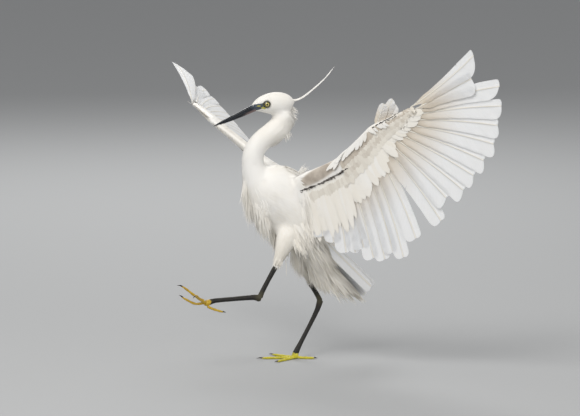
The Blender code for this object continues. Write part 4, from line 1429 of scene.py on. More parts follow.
def make_vanes(pile, roots, tips, up, outward, outer, inner, notches, look):
    """Adds flight feathers. `outer` and `inner` give web widths by (feather, 5 places along it)."""
    roots, tips, up, outward = (np.array([tuple(v) for v in rows]) for rows in (roots, tips, up, outward))
    number = len(roots)
    lengths = np.linalg.norm(tips - roots, axis=1)
    along_way = unit(tips - roots)
    up_way = square_to(up, along_way)
    side_way = np.cross(along_way, up_way)
    side_way *= np.sign((side_way * outward).sum(1))[:, None]
    places, outer_cut, inner_cut = vane_rows(number)
    anchors = np.linspace(0, 1, outer.shape[1])
    outer_wide = np.stack([np.interp(places[i], anchors, outer[i]) for i in range(number)])
    inner_wide = np.stack([np.interp(places[i], anchors, inner[i]) for i in range(number)])
    quill = narrow_quill(places)
    outer_wide = outer_wide * quill * round_tip(places, notches[:, 0], 0.4 * notches[:, 2]) * outer_cut
    inner_wide = inner_wide * quill * round_tip(places, notches[:, 1], notches[:, 2]) * inner_cut
    shaft = SHAFT_WIDE[0] + (SHAFT_WIDE[1] - SHAFT_WIDE[0]) * np.sqrt(places)
    shaft = np.minimum(shaft, 0.4 * np.minimum(outer_wide, inner_wide) + 0.05 * MM)
    across, rise = [], []
    for column in VANE_COLUMNS:
        if isinstance(column, str):
            sign = -1 if column.endswith("-") else 1
            across.append(sign * shaft)
            rise.append(np.zeros_like(shaft))
        else:
            width = outer_wide if column < 0 else inner_wide
            across.append(column * width)
            rise.append(np.full_like(shaft, 0.55) * shaft if column == 0 else np.zeros_like(shaft))
    across, rise = np.stack(across, -1), np.stack(rise, -1)
    widest = np.maximum(outer_wide, inner_wide)[:, :, None] + 1e-9
    tilt = -across * math.tan(math.radians(look["tilt"]))
    cup = -look["cup"] * across**2 / widest
    ripple = 0.25 * MM * np.sin(places * 40 + np.arange(number)[:, None] * 1.7)[:, :, None] * np.abs(across) / widest
    height = tilt + cup + ripple
    swept = np.abs(across) * BARB_SWEEP
    bow = 4 * places * (1 - places)
    centre = (
        roots[:, None]
        + along_way[:, None] * (places * lengths[:, None])[..., None]
        + side_way[:, None] * (bow * (np.zeros(number) + look["bow"])[:, None] * lengths[:, None])[..., None]
        + up_way[:, None] * (bow * look["arch"] * lengths[:, None])[..., None]
    )
    edge_thin = 1 - 0.75 * np.abs(across) / (np.abs(across).max(2, keepdims=True) + 1e-9)
    thick = WEB_THICKNESS * 0.5 * edge_thin
    thick = np.minimum(thick, widest * 0.2)

    def surface(offset):
        return (
            centre[:, :, None]
            - side_way[:, None, None] * across[..., None]
            + along_way[:, None, None] * swept[..., None]
            + up_way[:, None, None] * (height + offset)[..., None]
        )

    top = surface(thick + rise)
    bottom = surface(-thick - rise * 1.5)[:, :, -2:0:-1]
    rings = np.concatenate([top, bottom], axis=2)
    handed = np.sign((np.cross(side_way, along_way) * up_way).sum(1))
    edge_at = (0, len(VANE_COLUMNS) - 1)
    if handed[0] > 0:
        rings = rings[:, :, ::-1]
        edge_at = tuple(rings.shape[2] - 1 - k for k in edge_at)
    base = centre[:, 0] - along_way * (2 * MM)
    tip = centre[:, -1] + along_way * (0.4 * MM)
    flat_across = np.concatenate([across, across[:, :, -2:0:-1]], axis=2)
    if handed[0] > 0:
        flat_across = flat_across[:, :, ::-1]
    down = places[:, :, None] * np.ones_like(flat_across)
    around = flat_across.shape[2]
    widest_all = np.abs(flat_across).max() + 1e-9
    strip = (np.arange(number) + 0.5) / number
    u = strip[:, None, None] + flat_across / widest_all * (0.46 / number)
    v = 0.02 + 0.95 * down
    ends = np.stack([np.stack([strip, np.full(number, 0.01)], 1), np.stack([strip, np.full(number, 0.99)], 1)], 1)
    bake = np.concatenate([np.stack([u, v], -1).reshape(number, -1, 2), ends], 1)
    vane_u = 0.5 + flat_across / (100 * MM)
    reach = 0.35 + 0.65 * lengths / VANE_MAP_LENGTH
    vane_v = np.stack([vane_u, down * reach[:, None, None]], -1).reshape(number, -1, 2)
    vane_ends = np.stack([np.tile([0.5, 0.0], (number, 1)), np.tile([0.5, 1.0], (number, 1))], 1)
    vane_ends[:, 1, 1] = reach
    assert around == rings.shape[2]
    # whiter shifts the map along each vane, so less of the cream root with its painted shade shows
    vane_all = np.concatenate([vane_v, vane_ends], 1) + (0.0, look["whiter"])
    pile.add(rings, base, tip, bake, look["tones"](number), vane_all, edge_at=edge_at)


def spacing(roots, tips, count=5):
    """Distance from each feather's line to the next one's, at places from root to tip."""
    shares = np.linspace(0, 1, count)
    lines = np.array([[tuple(r.lerp(t, float(s))) for s in shares] for r, t in zip(roots, tips)])
    gaps = np.linalg.norm(np.diff(lines, axis=0), axis=2)
    return np.vstack([gaps, gaps[-1:]]), np.vstack([gaps[:1], gaps])


print("vane:", VANE_ROWS, "rows,", len(VANE_COLUMNS), "columns")

# %% Finish of the flight feathers
# cream is the quill's own cream with painted shade of overlapping webs; the bluish white of the tip is painted light
# coming through
FLIGHT_CREAM_AND_SHADE = (0.70, 0.61, 0.49, 1)
FLIGHT_WHITE = (0.91, 0.92, 0.93, 1)
SHAFT_CREAM = (0.88, 0.845, 0.75, 1)
SHAFT_SHADOW = (0.52, 0.465, 0.39, 1)


def make_flight_material():
    """Cream at the quill, the feather's own cream deepened by painted shade where webs overlap, and bluish white at the
    tip, a painted glow of light through single webs, with a pale shaft between painted shadow lines and fine barbs.
    """
    material, tree, shader = new_material("flight_feather", 0.5, sheen=0.1, glow=FEATHER_GLOW)
    uv = add_node(tree, "ShaderNodeUVMap", uv_map="vane").outputs["UV"]
    parts = add_node(tree, "ShaderNodeSeparateXYZ")
    link(tree, uv, parts.inputs[0])
    aside = math_node(tree, "ABSOLUTE", math_node(tree, "SUBTRACT", parts.outputs["X"], 0.5))
    down = parts.outputs["Y"]
    barb = math_node(tree, "SUBTRACT", math_node(tree, "MULTIPLY", down, 2.0), math_node(tree, "MULTIPLY", aside, 0.55))
    place = add_node(tree, "ShaderNodeCombineXYZ")
    link(tree, math_node(tree, "MULTIPLY", aside, 1.6), place.inputs[0])
    link(tree, math_node(tree, "MULTIPLY", barb, 42.0), place.inputs[1])
    fine = noise_node(tree, place.outputs[0], 6.0, 2.0)
    wide = noise_node(tree, place.outputs[0], 0.9, 3.0)
    tipward = range_node(tree, down, 0.10, 0.60)
    colour = mix_colour(tree, tipward, FLIGHT_CREAM_AND_SHADE, FLIGHT_WHITE)
    streak = math_node(tree, "MULTIPLY", range_node(tree, wide, 0.5, 0.75), 0.14)
    colour = mix_colour(tree, streak, colour, (0.58, 0.57, 0.55, 1))
    colour = mix_colour(tree, math_node(tree, "MULTIPLY", range_node(tree, fine, 0.55, 0.8), 0.12), colour, SHAFT_SHADOW)
    near_shaft = math_node(tree, "SUBTRACT", 1.0, range_node(tree, aside, 0.008, 0.030))
    colour = mix_colour(tree, math_node(tree, "MULTIPLY", near_shaft, 0.34), colour, SHAFT_SHADOW)
    on_shaft = math_node(tree, "SUBTRACT", 1.0, range_node(tree, aside, 0.0055, 0.0095))
    colour = mix_colour(tree, on_shaft, colour, SHAFT_CREAM)
    link(tree, colour, shader.inputs["Base Color"])
    link(tree, range_node(tree, fine, 0.3, 0.7, 0.42, 0.6), shader.inputs["Roughness"])
    bump(tree, shader, fine, 0.35, 0.0003)
    return material


flight_material = make_flight_material()


def even_tones(number):
    """A tone for each feather, near the middle."""
    return 0.5 + chance.uniform(-0.15, 0.15, number)


# %% The wing's fans of long feathers
# Feathers of each fan with their lengths in mm, as the solids have them
PRIMARY_LENGTHS = (172, 184, 183, 185, 190, 188, 190, 186, 133, 151)  # innermost to outermost
# Where the outer and the inner web start to narrow, and how pointed the feather is
PRIMARY_SHAPES = (
    (0.90, 0.88, 0.15),
    (0.90, 0.89, 0.1),
    (0.90, 0.89, 0.05),
    (0.91, 0.89, 0.05),
    (0.92, 0.87, 0.1),
    (0.93, 0.85, 0.3),
    (0.94, 0.79, 0.7),
    (0.95, 0.70, 1.0),
    (0.94, 0.74, 0.6),
    (0.95, 0.66, 1.0),
)
PRIMARY_BOWS = (0.01, 0.01, 0.01, 0.012, 0.014, 0.016, 0.02, 0.034, 0.01, -0.022)
# Lengths in mm and turn of each secondary, 0 along the innermost primary and 1 along the body, from the elbow out
SECONDARIES = ((121, 1.02), (155, 1.03), (174, 0.95), (178, 0.89), (203, 0.88), (191, 0.67), (197, 0.25))
SECONDARY_SHAPE = (0.9, 0.86, 0.12)
SECONDARY_BOWS = (0.0, 0.0, 0.01, 0.01, 0.015, 0.02, 0.015)
TERTIAL_LENGTHS = (92, 112, 140, 150)
TERTIAL_SHAPE = (0.8, 0.74, 0.45)
ALULA_LENGTHS = (46, 60, 52)
ALULA_SPREADS = (0.22, 0.17, 0.08)
ALULA_SHAPE = (0.62, 0.6, 0.5)
FAR_TWIST = 0.5
VANE_LOOK = {"tilt": 4.0, "cup": 0.05, "bow": 0.008, "arch": 0.02, "whiter": 0.0, "tones": even_tones}


def spread_along(places, count):
    """Evenly spaced points along a line through some places."""
    return part_of_line(places, 0, 1, count)


def web_widths(roots, tips, outer_share, inner_share, outer_least, inner_least, outer_most, inner_most):
    """Web widths from the room between neighbours, held between limits (mm)."""
    to_next, to_last = spacing(roots, tips)
    outer = np.clip(to_next * outer_share, outer_least * MM, outer_most * MM)
    inner = np.clip(to_last * inner_share, inner_least * MM, inner_most * MM)
    return outer, inner


def primary_lines(wing):
    """Roots and tips of the ten primaries, innermost first."""
    count = len(PRIMARY_LENGTHS)
    line = [hand_edge(wing, s, trail * 0.55) for s, _, trail, _ in HAND_STATIONS] + [hand_edge(wing, 1.0, -5)]
    roots = spread_along(line, count)
    tips = []
    for i, length in enumerate(PRIMARY_LENGTHS):
        share = 1 - i / (count - 1)
        way = wing["lead"].slerp(wing["inner"], share ** wing["gather"])
        start = wing["wrist"].lerp(wing["finger"], 0.1 + 0.9 * (1 - share))
        tips.append(start + way * (length * MM))
    return roots, tips


def secondary_lines(wing):
    """Roots and tips of the secondaries, from the elbow to the wrist."""
    count = len(SECONDARIES)
    roots = spread_along([arm_edge(wing, s, trail * 0.6) for s, _, trail, _ in ARM_STATIONS[3:]], count)
    tips = []
    for i, (length, turn) in enumerate(SECONDARIES):
        share = i / (count - 1)
        start = wing["shoulder"].lerp(wing["wrist"], 0.5 + 0.48 * share) + wing["rear"] * (ELBOW_SAG * (1 - share))
        tips.append(start + wing["inner"].slerp(wing["rear"], turn) * (length * MM))
    return roots, tips


def tertial_lines(wing):
    """Roots and tips of the tertials, from the body to the elbow."""
    count = len(TERTIAL_LENGTHS)
    roots = spread_along([arm_edge(wing, s, trail * 0.6) for s, _, trail, _ in ARM_STATIONS[1:4]], count)
    tips = []
    for i, length in enumerate(TERTIAL_LENGTHS):
        start = wing["shoulder"].lerp(wing["wrist"], 0.08 + 0.3 * i / (count - 1))
        tips.append(start + wing["rear"] * ((length + 18) * MM))
    return roots, tips


def alula_lines(wing):
    """Roots and tips of the thumb's feathers."""
    roots = [hand_edge(wing, s, 1) for s in (0.05, 0.1, 0.16)]
    starts = [hand_edge(wing, s, -11.2) for s in (0.03, 0.08, 0.16)]
    ways = [wing["hand"].slerp(-wing["inner"], spread) for spread in ALULA_SPREADS]
    return roots, [start + way * (length * MM) for start, way, length in zip(starts, ways, ALULA_LENGTHS)]


def add_fan(name, lines, up, outward, widths, notches, look, stands_for):
    """One fan of long feathers as a piece."""
    roots, tips = lines
    pile = FeatherPile()
    outer, inner = web_widths(roots, tips, *widths)
    count = len(roots)
    make_vanes(pile, roots, tips, [up] * count, [outward] * count, outer, inner, np.array(notches), look)
    return pile.piece(name, flight_material, "flight_feathers", [stands_for])


for side_name, wing in WINGS.items():
    hand_up, arm_up = wing["hand_top"], wing["top"]
    if side_name == "right":  # the far wing's feathers are twisted so that their upper faces close towards the viewer
        hand_up, arm_up = hand_up - away * FAR_TWIST, arm_up - away * FAR_TWIST
    # the far wing's upper face lies in full light, so it shows less of the painted root shade
    white_look = dict(VANE_LOOK, whiter=0.45 if side_name == "right" else 0.0)
    bowed = dict(white_look, bow=np.array(PRIMARY_BOWS))
    triangle_total += add_fan(
        f"{side_name}_primary_feathers", primary_lines(wing), hand_up, wing["lead"] - wing["inner"],
        (0.36, 0.8, 4, 12, 12, 27), PRIMARY_SHAPES, bowed, f"{side_name}_primaries",
    )
    bowed = dict(white_look, bow=np.array(SECONDARY_BOWS))
    triangle_total += add_fan(
        f"{side_name}_secondary_feathers", secondary_lines(wing), arm_up, wing["reach"],
        (0.5, 0.9, 8, 15, 12, 21), [SECONDARY_SHAPE] * len(SECONDARIES), bowed, f"{side_name}_secondaries",
    )
    triangle_total += add_fan(
        f"{side_name}_tertial_feathers", tertial_lines(wing), wing["top"], wing["reach"],
        (0.6, 0.8, 11, 16, 16, 22), [TERTIAL_SHAPE] * 4, VANE_LOOK, f"{side_name}_tertials",
    )
    triangle_total += add_fan(
        f"{side_name}_alula_feathers", alula_lines(wing), wing["hand_top"], -wing["inner"],
        (0.8, 1.4, 7, 10, 8, 12), [ALULA_SHAPE] * 3, VANE_LOOK, f"{side_name}_alula",
    )

# %% Tail
TAIL_TIPS = ((142, 129), (128, 111))
TAIL_ROOTS = ((63, 207), (56, 191))
TAIL_TURNS = (78, 50)  # degrees by which the outermost and the middle feathers are turned to the side
TAIL_HALF_SPREAD = 26.0
TAIL_COUNT = 12
TAIL_SHAPE = (0.88, 0.84, 0.2)
TAIL_ROOT_WIDTH = 22 * MM
# painted light: the tail's vanes are shifted to their white tips, which lightens a tail that lies in the wing's shadow
TAIL_PAINTED_LIGHT = 0.5
NEAR_TAIL_OUT = -37.0
TAIL_WEBS = (6.5, 12)  # outer and inner web (mm)
NEAR_TAIL_WEBS = (14, 6)
tail_roots, tail_tips, tail_outs, tail_ups = [], [], [], []
for i in range(TAIL_COUNT):
    out = TAIL_HALF_SPREAD * (2 * i / (TAIL_COUNT - 1) - 1)
    share = abs(out) / TAIL_HALF_SPREAD
    spot = [inner + (outer - inner) * share for outer, inner in zip(*TAIL_TIPS)]
    root_spot = [inner + (outer - inner) * share**2 for outer, inner in zip(*TAIL_ROOTS)]
    layer = 1.6 * MM * (1 - share)
    turn = math.radians(TAIL_TURNS[1] + (TAIL_TURNS[0] - TAIL_TURNS[1]) * share**1.5)
    tail_tips.append(seen(spot[0], spot[1], out) + Vector((0, 0, layer)))
    tail_roots.append(seen(*root_spot) + Vector((0, TAIL_ROOT_WIDTH * (i / (TAIL_COUNT - 1) - 0.5), layer)))
    side = -1 if out < 0 else 1
    tail_ups.append(Vector((0.3, side * math.sin(turn), math.cos(turn))))
    tail_outs.append(Vector((-0.5 * math.sin(turn), side * math.cos(turn), -math.sin(turn))))
# The nearest outer feather lies over the side of the rump and turns its broad face to the viewer
tail_roots[0] = seen(*TAIL_ROOTS[0], NEAR_TAIL_OUT)
tail_tips[0] = seen(*TAIL_TIPS[0], NEAR_TAIL_OUT)
tail_ups[0] = Vector((0.0, -0.95, 0.25))
for side_name, first in (("left", 0), ("right", TAIL_COUNT // 2)):
    chosen = slice(first, first + TAIL_COUNT // 2)
    roots, tips, outs = tail_roots[chosen], tail_tips[chosen], tail_outs[chosen]
    pile = FeatherPile()
    count = len(roots)
    outer = np.full((count, 5), TAIL_WEBS[0] * MM)
    inner = np.full((count, 5), TAIL_WEBS[1] * MM)
    if side_name == "left":
        outer[0], inner[0] = (web * MM for web in NEAR_TAIL_WEBS)
    shapes = np.tile(TAIL_SHAPE, (count, 1))
    make_vanes(pile, roots, tips, tail_ups[chosen], outs, outer, inner, shapes, dict(VANE_LOOK, whiter=TAIL_PAINTED_LIGHT))
    stands = ["tail"] if side_name == "left" else []
    triangle_total += pile.piece(f"{side_name}_tail_feathers", flight_material, "flight_feathers", stands)
print("triangles in flight feathers:", triangle_total)

# %% [markdown]
# ## Short blades for the coat
# The feathers of the coat are smaller cousins of the long ones: a closed blade with a raised middle, a few
# rings long. Each lies along the body from its root, rises to the coat's depth and then follows the skin, so
# that on a bend of the neck it neither stands off nor cuts in. The skin is asked for its nearest point under
# every ring.

# %% The blade maker
from mathutils.bvhtree import BVHTree

body_skin.data.update()
skin_graph = bpy.context.evaluated_depsgraph_get()
skin_tree = BVHTree.FromObject(body_skin, skin_graph)
TENT = ((-1, 0), (0, 1), (1, 0))
CROWNED = ((-1, 0), (-0.55, 0.7), (0, 1), (0.55, 0.7), (1, 0))
# Rows of a blade: share of its length and of its width
LANCE = ((0, 0.35), (0.3, 1.0), (0.68, 0.82))
ROUNDED = ((0, 0.4), (0.25, 0.85), (0.55, 1.0), (0.8, 0.86), (0.94, 0.5))
SOFT_TIPPED = ((0, 0.4), (0.25, 0.85), (0.5, 1.0), (0.74, 0.86), (0.9, 0.52))
PATCH = 0.0015  # half of a feather's patch in the bake map
SOFTNESS = 0.9  # share of the skin's own normal in a blade's shading, so that the coat reads as one soft surface
CROWN_RISE = 0.08  # height of a blade's middle as a share of its half width


def on_skin(points):
    """The skin's nearest point to each point, and the skin's normal there."""
    places, normals = np.empty_like(points), np.empty_like(points)
    find = skin_tree.find_nearest
    for i, point in enumerate(points):
        place, normal, _, _ = find(point)
        places[i] = place
        normals[i] = normal
    return places, normals


def grow_blades(pile, centres, normals, wide, base, bake, tones, shares, section=TENT):
    """Adds closed blades along centre lines. wide is the half width (feather, row), one row less than centres."""
    number = len(centres)
    along_way = unit(np.gradient(centres, axis=1))
    side_way = unit(np.cross(along_way, normals))
    up_way = np.cross(side_way, along_way)
    across, crown = np.array(section, float).T
    offset = side_way[:, :-1, None] * (wide[..., None] * across)[..., None]
    offset = offset + up_way[:, :-1, None] * (wide[..., None] * CROWN_RISE * crown)[..., None]
    rings = centres[:, :-1, None] + offset
    local_x = np.tile(across, (len(shares) - 1, 1))
    local_y = np.tile(2 * shares[:-1, None] - 1, (1, len(across)))
    local = np.stack([local_x, local_y], -1).reshape(-1, 2)
    local = np.vstack([local, [[0, -1.1], [0, 1]]])
    patches = bake[:, None] + PATCH * local[None]
    fanned = up_way[:, :-1, None] + side_way[:, :-1, None] * (0.6 * across)[:, None]
    soft = unit(normals[:, :-1, None] * SOFTNESS + fanned * (1 - SOFTNESS)).reshape(number, -1, 3)
    soft = np.concatenate([soft, normals[:, :1], unit(normals[:, -1:] * SOFTNESS + up_way[:, -1:])], 1)
    pile.add(rings, base, centres[:, -1], patches, tones, normals=soft)


def make_blades(pile, roots, ways, ups, sizes, bake, tones, rows=LANCE, section=TENT, drape=True, bend=None):
    """Adds blades. sizes has length, width and height over the skin in metres for each; bend curls the tips up."""
    length, width, depth = sizes.T
    bend = np.zeros(len(roots)) if bend is None else bend
    shares = np.array([share for share, _ in rows] + [1.0])
    centres, normals = [], []
    for share in shares:
        place = roots + ways * (length * share)[:, None]
        normal = ups
        if drape:
            place, normal = on_skin(place)
        rise = depth * (1 - (1 - share) ** 2) + bend * length * share**2
        centres.append(place + normal * rise[:, None])
        normals.append(normal)
    centres, normals = np.stack(centres, 1), np.stack(normals, 1)
    wide = np.array([w for _, w in rows])[None] * width[:, None] / 2
    base = centres[:, 0] - normals[:, 0] * 0.4 * MM if drape else roots - ways * (0.06 * length)[:, None]
    grow_blades(pile, centres, normals, wide, base, bake, tones, shares, section)


print("skin tree ready")

# %% Finish of the coat
def make_coat_material():
    """Soft white plumage whose tone changes from feather to feather."""
    material, tree, shader = new_material("coat_feather", 0.62, sheen=0.15)
    link(tree, plumage_node(tree), shader.inputs["Base Color"])
    streaks = noise_node(tree, object_place(tree), 900.0, 2.0)
    link(tree, range_node(tree, streaks, 0.3, 0.7, 0.55, 0.7), shader.inputs["Roughness"])
    bump(tree, shader, streaks, 0.2, 0.0002)
    return material


coat_material = make_coat_material()

# %% [markdown]
# ## Coverts
# The wing's arm and hand are shingled with coverts, the small feathers that smooth it: many short rows near the
# leading edge, then a longer median row and the greater coverts, which close over the quills of the flight
# feathers. The rows differ above and below, and on the raised left wing the camera looks at the underside,
# where the skin fold before the elbow is nearly bare.


# %% Rows of coverts
def wing_lines(wing, count=40):
    """Leading and rear edges of the whole feathered arm, with the distance out from the shoulder (mm)."""
    fronts, rears, tops = [], [], []
    for s, lead, trail in stations_between(ARM_STATIONS, count):
        fronts.append(arm_edge(wing, s, lead))
        rears.append(arm_edge(wing, s, trail))
        tops.append(wing["top"])
    for s, lead, trail in stations_between(HAND_STATIONS, count // 2):
        fronts.append(hand_edge(wing, s, lead))
        rears.append(hand_edge(wing, s, trail))
        tops.append(wing["hand_top"])
    fronts, rears, tops = (np.array([tuple(p) for p in rows]) for rows in (fronts, rears, tops))
    middles = fronts * 0.6 + rears * 0.4
    walked = np.concatenate([[0], np.cumsum(np.linalg.norm(np.diff(middles, axis=0), axis=1))]) / MM
    return {"fronts": fronts, "rears": rears, "tops": tops, "walked": walked}


def at_walk(lines, key, distance):
    """One of the wing's lines, read at distances from the shoulder."""
    return np.stack([np.interp(distance, lines["walked"], lines[key][:, k]) for k in range(3)], 1)


WING_LINES = {name: wing_lines(wing) for name, wing in WINGS.items()}
ARM_WALK = {name: float(lines["walked"][39]) for name, lines in WING_LINES.items()}
WHOLE_WALK = {name: float(lines["walked"][-1]) for name, lines in WING_LINES.items()}
# Rows above the wing: chord where the roots stand, length, width, height, spacing (mm), shape
UPPER_ROWS = (
    (0.015, 11, 5.5, 1.2, 3.6, ROUNDED),
    (0.08, 12, 6, 1.6, 3.8, ROUNDED),
    (0.16, 13, 6.5, 1.8, 4.0, ROUNDED),
    (0.25, 14, 7, 1.8, 4.4, ROUNDED),
    (0.34, 15, 8, 1.8, 4.8, ROUNDED),
    (0.43, 17, 9, 1.8, 5.4, ROUNDED),
    (0.53, 24, 11, 1.8, 6.2, ROUNDED),
    (0.66, 42, 14, 1.8, 7.4, ROUNDED),
)
LOWER_ROWS = (
    (0.015, 10, 5.5, 0.9, 3.6, ROUNDED),
    (0.09, 12, 6, 1.0, 3.6, ROUNDED),
    (0.17, 14, 7, 1.1, 3.9, ROUNDED),
    (0.26, 16, 8.5, 1.2, 4.2, SOFT_TIPPED),
    (0.36, 19, 10, 1.2, 4.6, SOFT_TIPPED),
    (0.47, 24, 12, 1.2, 5.2, SOFT_TIPPED),
    (0.60, 34, 15, 1.2, 6.4, SOFT_TIPPED),
    (0.70, 46, 17, 1.2, 7.4, SOFT_TIPPED),
)
FAR_COVERTS = ((0.62, 74, 17, 1.8, 8.0, ROUNDED),)  # the far wing, seen from above, shows longer ones too
HAND_SHORTER = 0.86
OVER_QUILLS = {True: 2.9, False: -1.9}  # where coverts end over the middle plane (mm), above and below the wing
COVERT_ROLL = 0.1
LONG_COVERT = 50  # longer coverts (mm) reach past the arm's rear edge too
OVERHANG_CHORD = 0.6  # rows that start behind this reach past the arm's rear edge and aren't draped


def quill_ways(name):
    """Distances out from the shoulder and the way the long feathers point there."""
    lines, wing = WING_LINES[name], WINGS[name]
    walks, ways = [], []
    for roots, tips in (tertial_lines(wing), secondary_lines(wing), primary_lines(wing)):
        for root, tip in zip(roots, tips):
            nearest = np.linalg.norm(lines["rears"] - np.array(root), axis=1).argmin()
            walks.append(lines["walked"][nearest] + 0.01 * len(walks))
            ways.append(np.array((tip - root).normalized()))
    order = np.argsort(walks)
    return np.array(walks)[order], np.array(ways)[order]


def covert_rows(pile, name, rows, above, tone_of, keep, fan=0.05, aside=(0.0, 0.0)):
    """Rows of coverts over one face of one wing."""
    wing, lines = WINGS[name], WING_LINES[name]
    face = 1 if above else -1
    reach_way = unit(np.array(wing["finger"] - wing["shoulder"])[None])[0]
    for chord_at, length, width, height, apart, shape in rows:
        number = int((WHOLE_WALK[name] - 6) / apart)
        walk = 4 + (np.arange(number) + chance.uniform(-0.2, 0.2, number)) * apart
        chord_spots = np.clip(chord_at + chance.uniform(-0.012, 0.012, number), 0, 1)[:, None]
        fronts, rears, tops = (at_walk(lines, key, walk) for key in ("fronts", "rears", "tops"))
        ups = unit(tops) * face
        walks, quills = quill_ways(name)
        along_quill = np.stack([np.interp(walk, walks, quills[:, k]) for k in range(3)], 1)
        ways = unit(unit(rears - fronts) * (1 - chord_at) + along_quill * (0.4 + chord_at))
        slant = aside[0] + (aside[1] - aside[0]) * walk[:, None] / WHOLE_WALK[name]
        ways = unit(ways + reach_way * (slant + chance.normal(0, fan, (number, 1))))
        middle_spots = fronts + (rears - fronts) * chord_spots
        roots = middle_spots.copy()
        normals = ups.copy()
        good = keep(walk, chord_spots[:, 0])
        for i in range(number):
            start = Vector(middle_spots[i] + ups[i] * 25 * MM)
            place, normal, _, _ = skin_tree.ray_cast(start, Vector(-ups[i]), 50 * MM)
            if place is None:
                place, normal, _, _ = skin_tree.find_nearest(Vector(middle_spots[i] + ups[i] * 4 * MM))
            roots[i] = place
            normals[i] = normal
        on_hand = blur_step(walk, ARM_WALK[name] - 10, ARM_WALK[name] + 20)
        size = (1 - (1 - HAND_SHORTER) * on_hand) * chance.uniform(0.86, 1.14, number)
        sizes = np.stack([length * size, width * size**0.5, np.full(number, height)], 1) * MM
        tangent = square_to(ways, normals)
        bake = np.stack([0.03 + 0.44 * chord_spots[:, 0] + (0 if above else 0.5), 0.03 + 0.94 * walk / 300], 1)
        tones = tone_of(walk, chord_spots[:, 0])
        drape = chord_at < OVERHANG_CHORD and length < LONG_COVERT
        if not drape:
            over_middle = ((roots - middle_spots) * ups).sum(1)
            slope = (OVER_QUILLS[above] * MM - over_middle) / sizes[:, 0]
            tangent = unit(square_to(ways, ups) + ups * slope[:, None])
            roots = roots + normals * 0.2 * MM
            normals = unit(ups + reach_way * COVERT_ROLL)
            sizes[:, 2] = 0.5 * MM
        pick = np.nonzero(good)[0]
        make_blades(
            pile, roots[pick], tangent[pick], normals[pick], sizes[pick], bake[pick], tones[pick],
            shape, CROWNED, drape,
        )


def keep_all(walk, chord_spots):
    """Every place bears a covert."""
    return np.ones(len(walk), bool)


BARE_FOLD = (0, 102, 0.38)  # the nearly bare fold under the left wing: from and to along it, and its chord
# Long soft feathers from under the wing's root, which hide the ends of the coverts there
AXILLARY_ROWS = (
    (0.48, 86, 13, 1.6, 4.4, SOFT_TIPPED),
    (0.45, 72, 12, 1.9, 4.2, SOFT_TIPPED),
    (0.41, 54, 10, 2.2, 3.8, SOFT_TIPPED),
)
AXILLARY_WALK = 96
# Long white coverts that hang off the left wing's leading edge past the fold
HANGING_ROWS = (
    (0.0, 33, 5.6, 3.4, 6.0, ROUNDED),
)
HANGING_WALK = (98, 222)
HANGING_SLANT = (-0.5, -0.2)
HANGING_CLEAR = 0.12  # chord before which nothing else grows there
# Painted shadow: brown covert blades along a line behind the hanging coverts, and broken marks under the thumb, stand
# for the shadow in the gaps there
SHADOW_LINE_CHORD = 0.38  # where a dark line runs behind the hanging coverts
SHADOW_LINE_ROWS = (
    (SHADOW_LINE_CHORD - 0.008, 8.5, 1.5, 1.6, 2.2, SOFT_TIPPED),
    (SHADOW_LINE_CHORD + 0.014, 7.0, 1.1, 1.7, 3.0, SOFT_TIPPED),
    (SHADOW_LINE_CHORD + 0.040, 5.0, 1.0, 1.6, 6.0, SOFT_TIPPED),
)
SHADOW_LINE_WALK = (0, 108)
HAND_SHADOW_ROWS = ((0.14, 7.0, 1.6, 2.0, 2.6, SOFT_TIPPED), (0.22, 6.0, 1.2, 2.0, 3.6, SOFT_TIPPED))
HAND_SHADOW_WALK = (196, 246)
BARE_QUILLS = 0.65  # chord behind which the hand's underside shows its quills
PAINTED_SHADOW_TONE = -1.5


def keep_off_fold(walk, chord_spots):
    """Leaves the fold of skin before the left elbow nearly bare."""
    first, last, rear = BARE_FOLD
    inside = (walk > first) & (walk < last) & (chord_spots < rear)
    under_hanging = (walk > last) & (walk < HANGING_WALK[1]) & (chord_spots < HANGING_CLEAR)
    quills = (walk > ARM_WALK["left"] + 6) & (chord_spots > BARE_QUILLS)
    return ~(inside | under_hanging | quills)


def white_tones(walk, chord_spots):
    """Nearly even tones."""
    return 0.5 + chance.uniform(-0.2, 0.2, len(walk))


def shaded_underwing_tones(walk, chord_spots):
    """Painted shade under the wing: beige near the bones, darker along the shadow line and below the hanging coverts,
    white at its leading edge.
    """
    warm = blur_step(chord_spots, 0.03, 0.2) * (1 - 0.75 * blur_step(chord_spots, 0.4, 0.65))
    dark = np.exp(-(((chord_spots - SHADOW_LINE_CHORD) / 0.07) ** 2))
    shaded = 0.5 * np.exp(-(((chord_spots - 0.15) / 0.07) ** 2)) * blur_step(walk, 90, 110)
    return 0.34 - 0.42 * warm - 0.15 * dark - shaded + chance.uniform(-0.12, 0.12, len(walk))


def painted_shadow_tones(walk, chord_spots):
    """The painted shadow tone of the dark line."""
    return np.full(len(walk), PAINTED_SHADOW_TONE)


def keep_broken_shadow_line(walk, chord_spots):
    """Leaves the painted shadow line broken, and heavier near the body."""
    some = chance.uniform(0, 1, len(walk)) < 0.8 - 0.35 * blur_step(walk, 60, 105)
    return some & (walk > SHADOW_LINE_WALK[0]) & (walk < SHADOW_LINE_WALK[1])


def keep_hand_shadow_marks(walk, chord_spots):
    """Broken painted shadow marks under the thumb."""
    some = chance.uniform(0, 1, len(walk)) < 0.7
    return some & (walk > HAND_SHADOW_WALK[0]) & (walk < HAND_SHADOW_WALK[1])


def cream_tones(walk, chord_spots):
    """Warm cream."""
    return 0.22 + chance.uniform(-0.1, 0.1, len(walk))


def keep_axillary(walk, chord_spots):
    """Only the stretch of the wing next to the body."""
    return walk < AXILLARY_WALK


def keep_hanging(walk, chord_spots):
    """Only the stretch of the leading edge where long coverts hang."""
    return (walk > HANGING_WALK[0]) & (walk < HANGING_WALK[1])


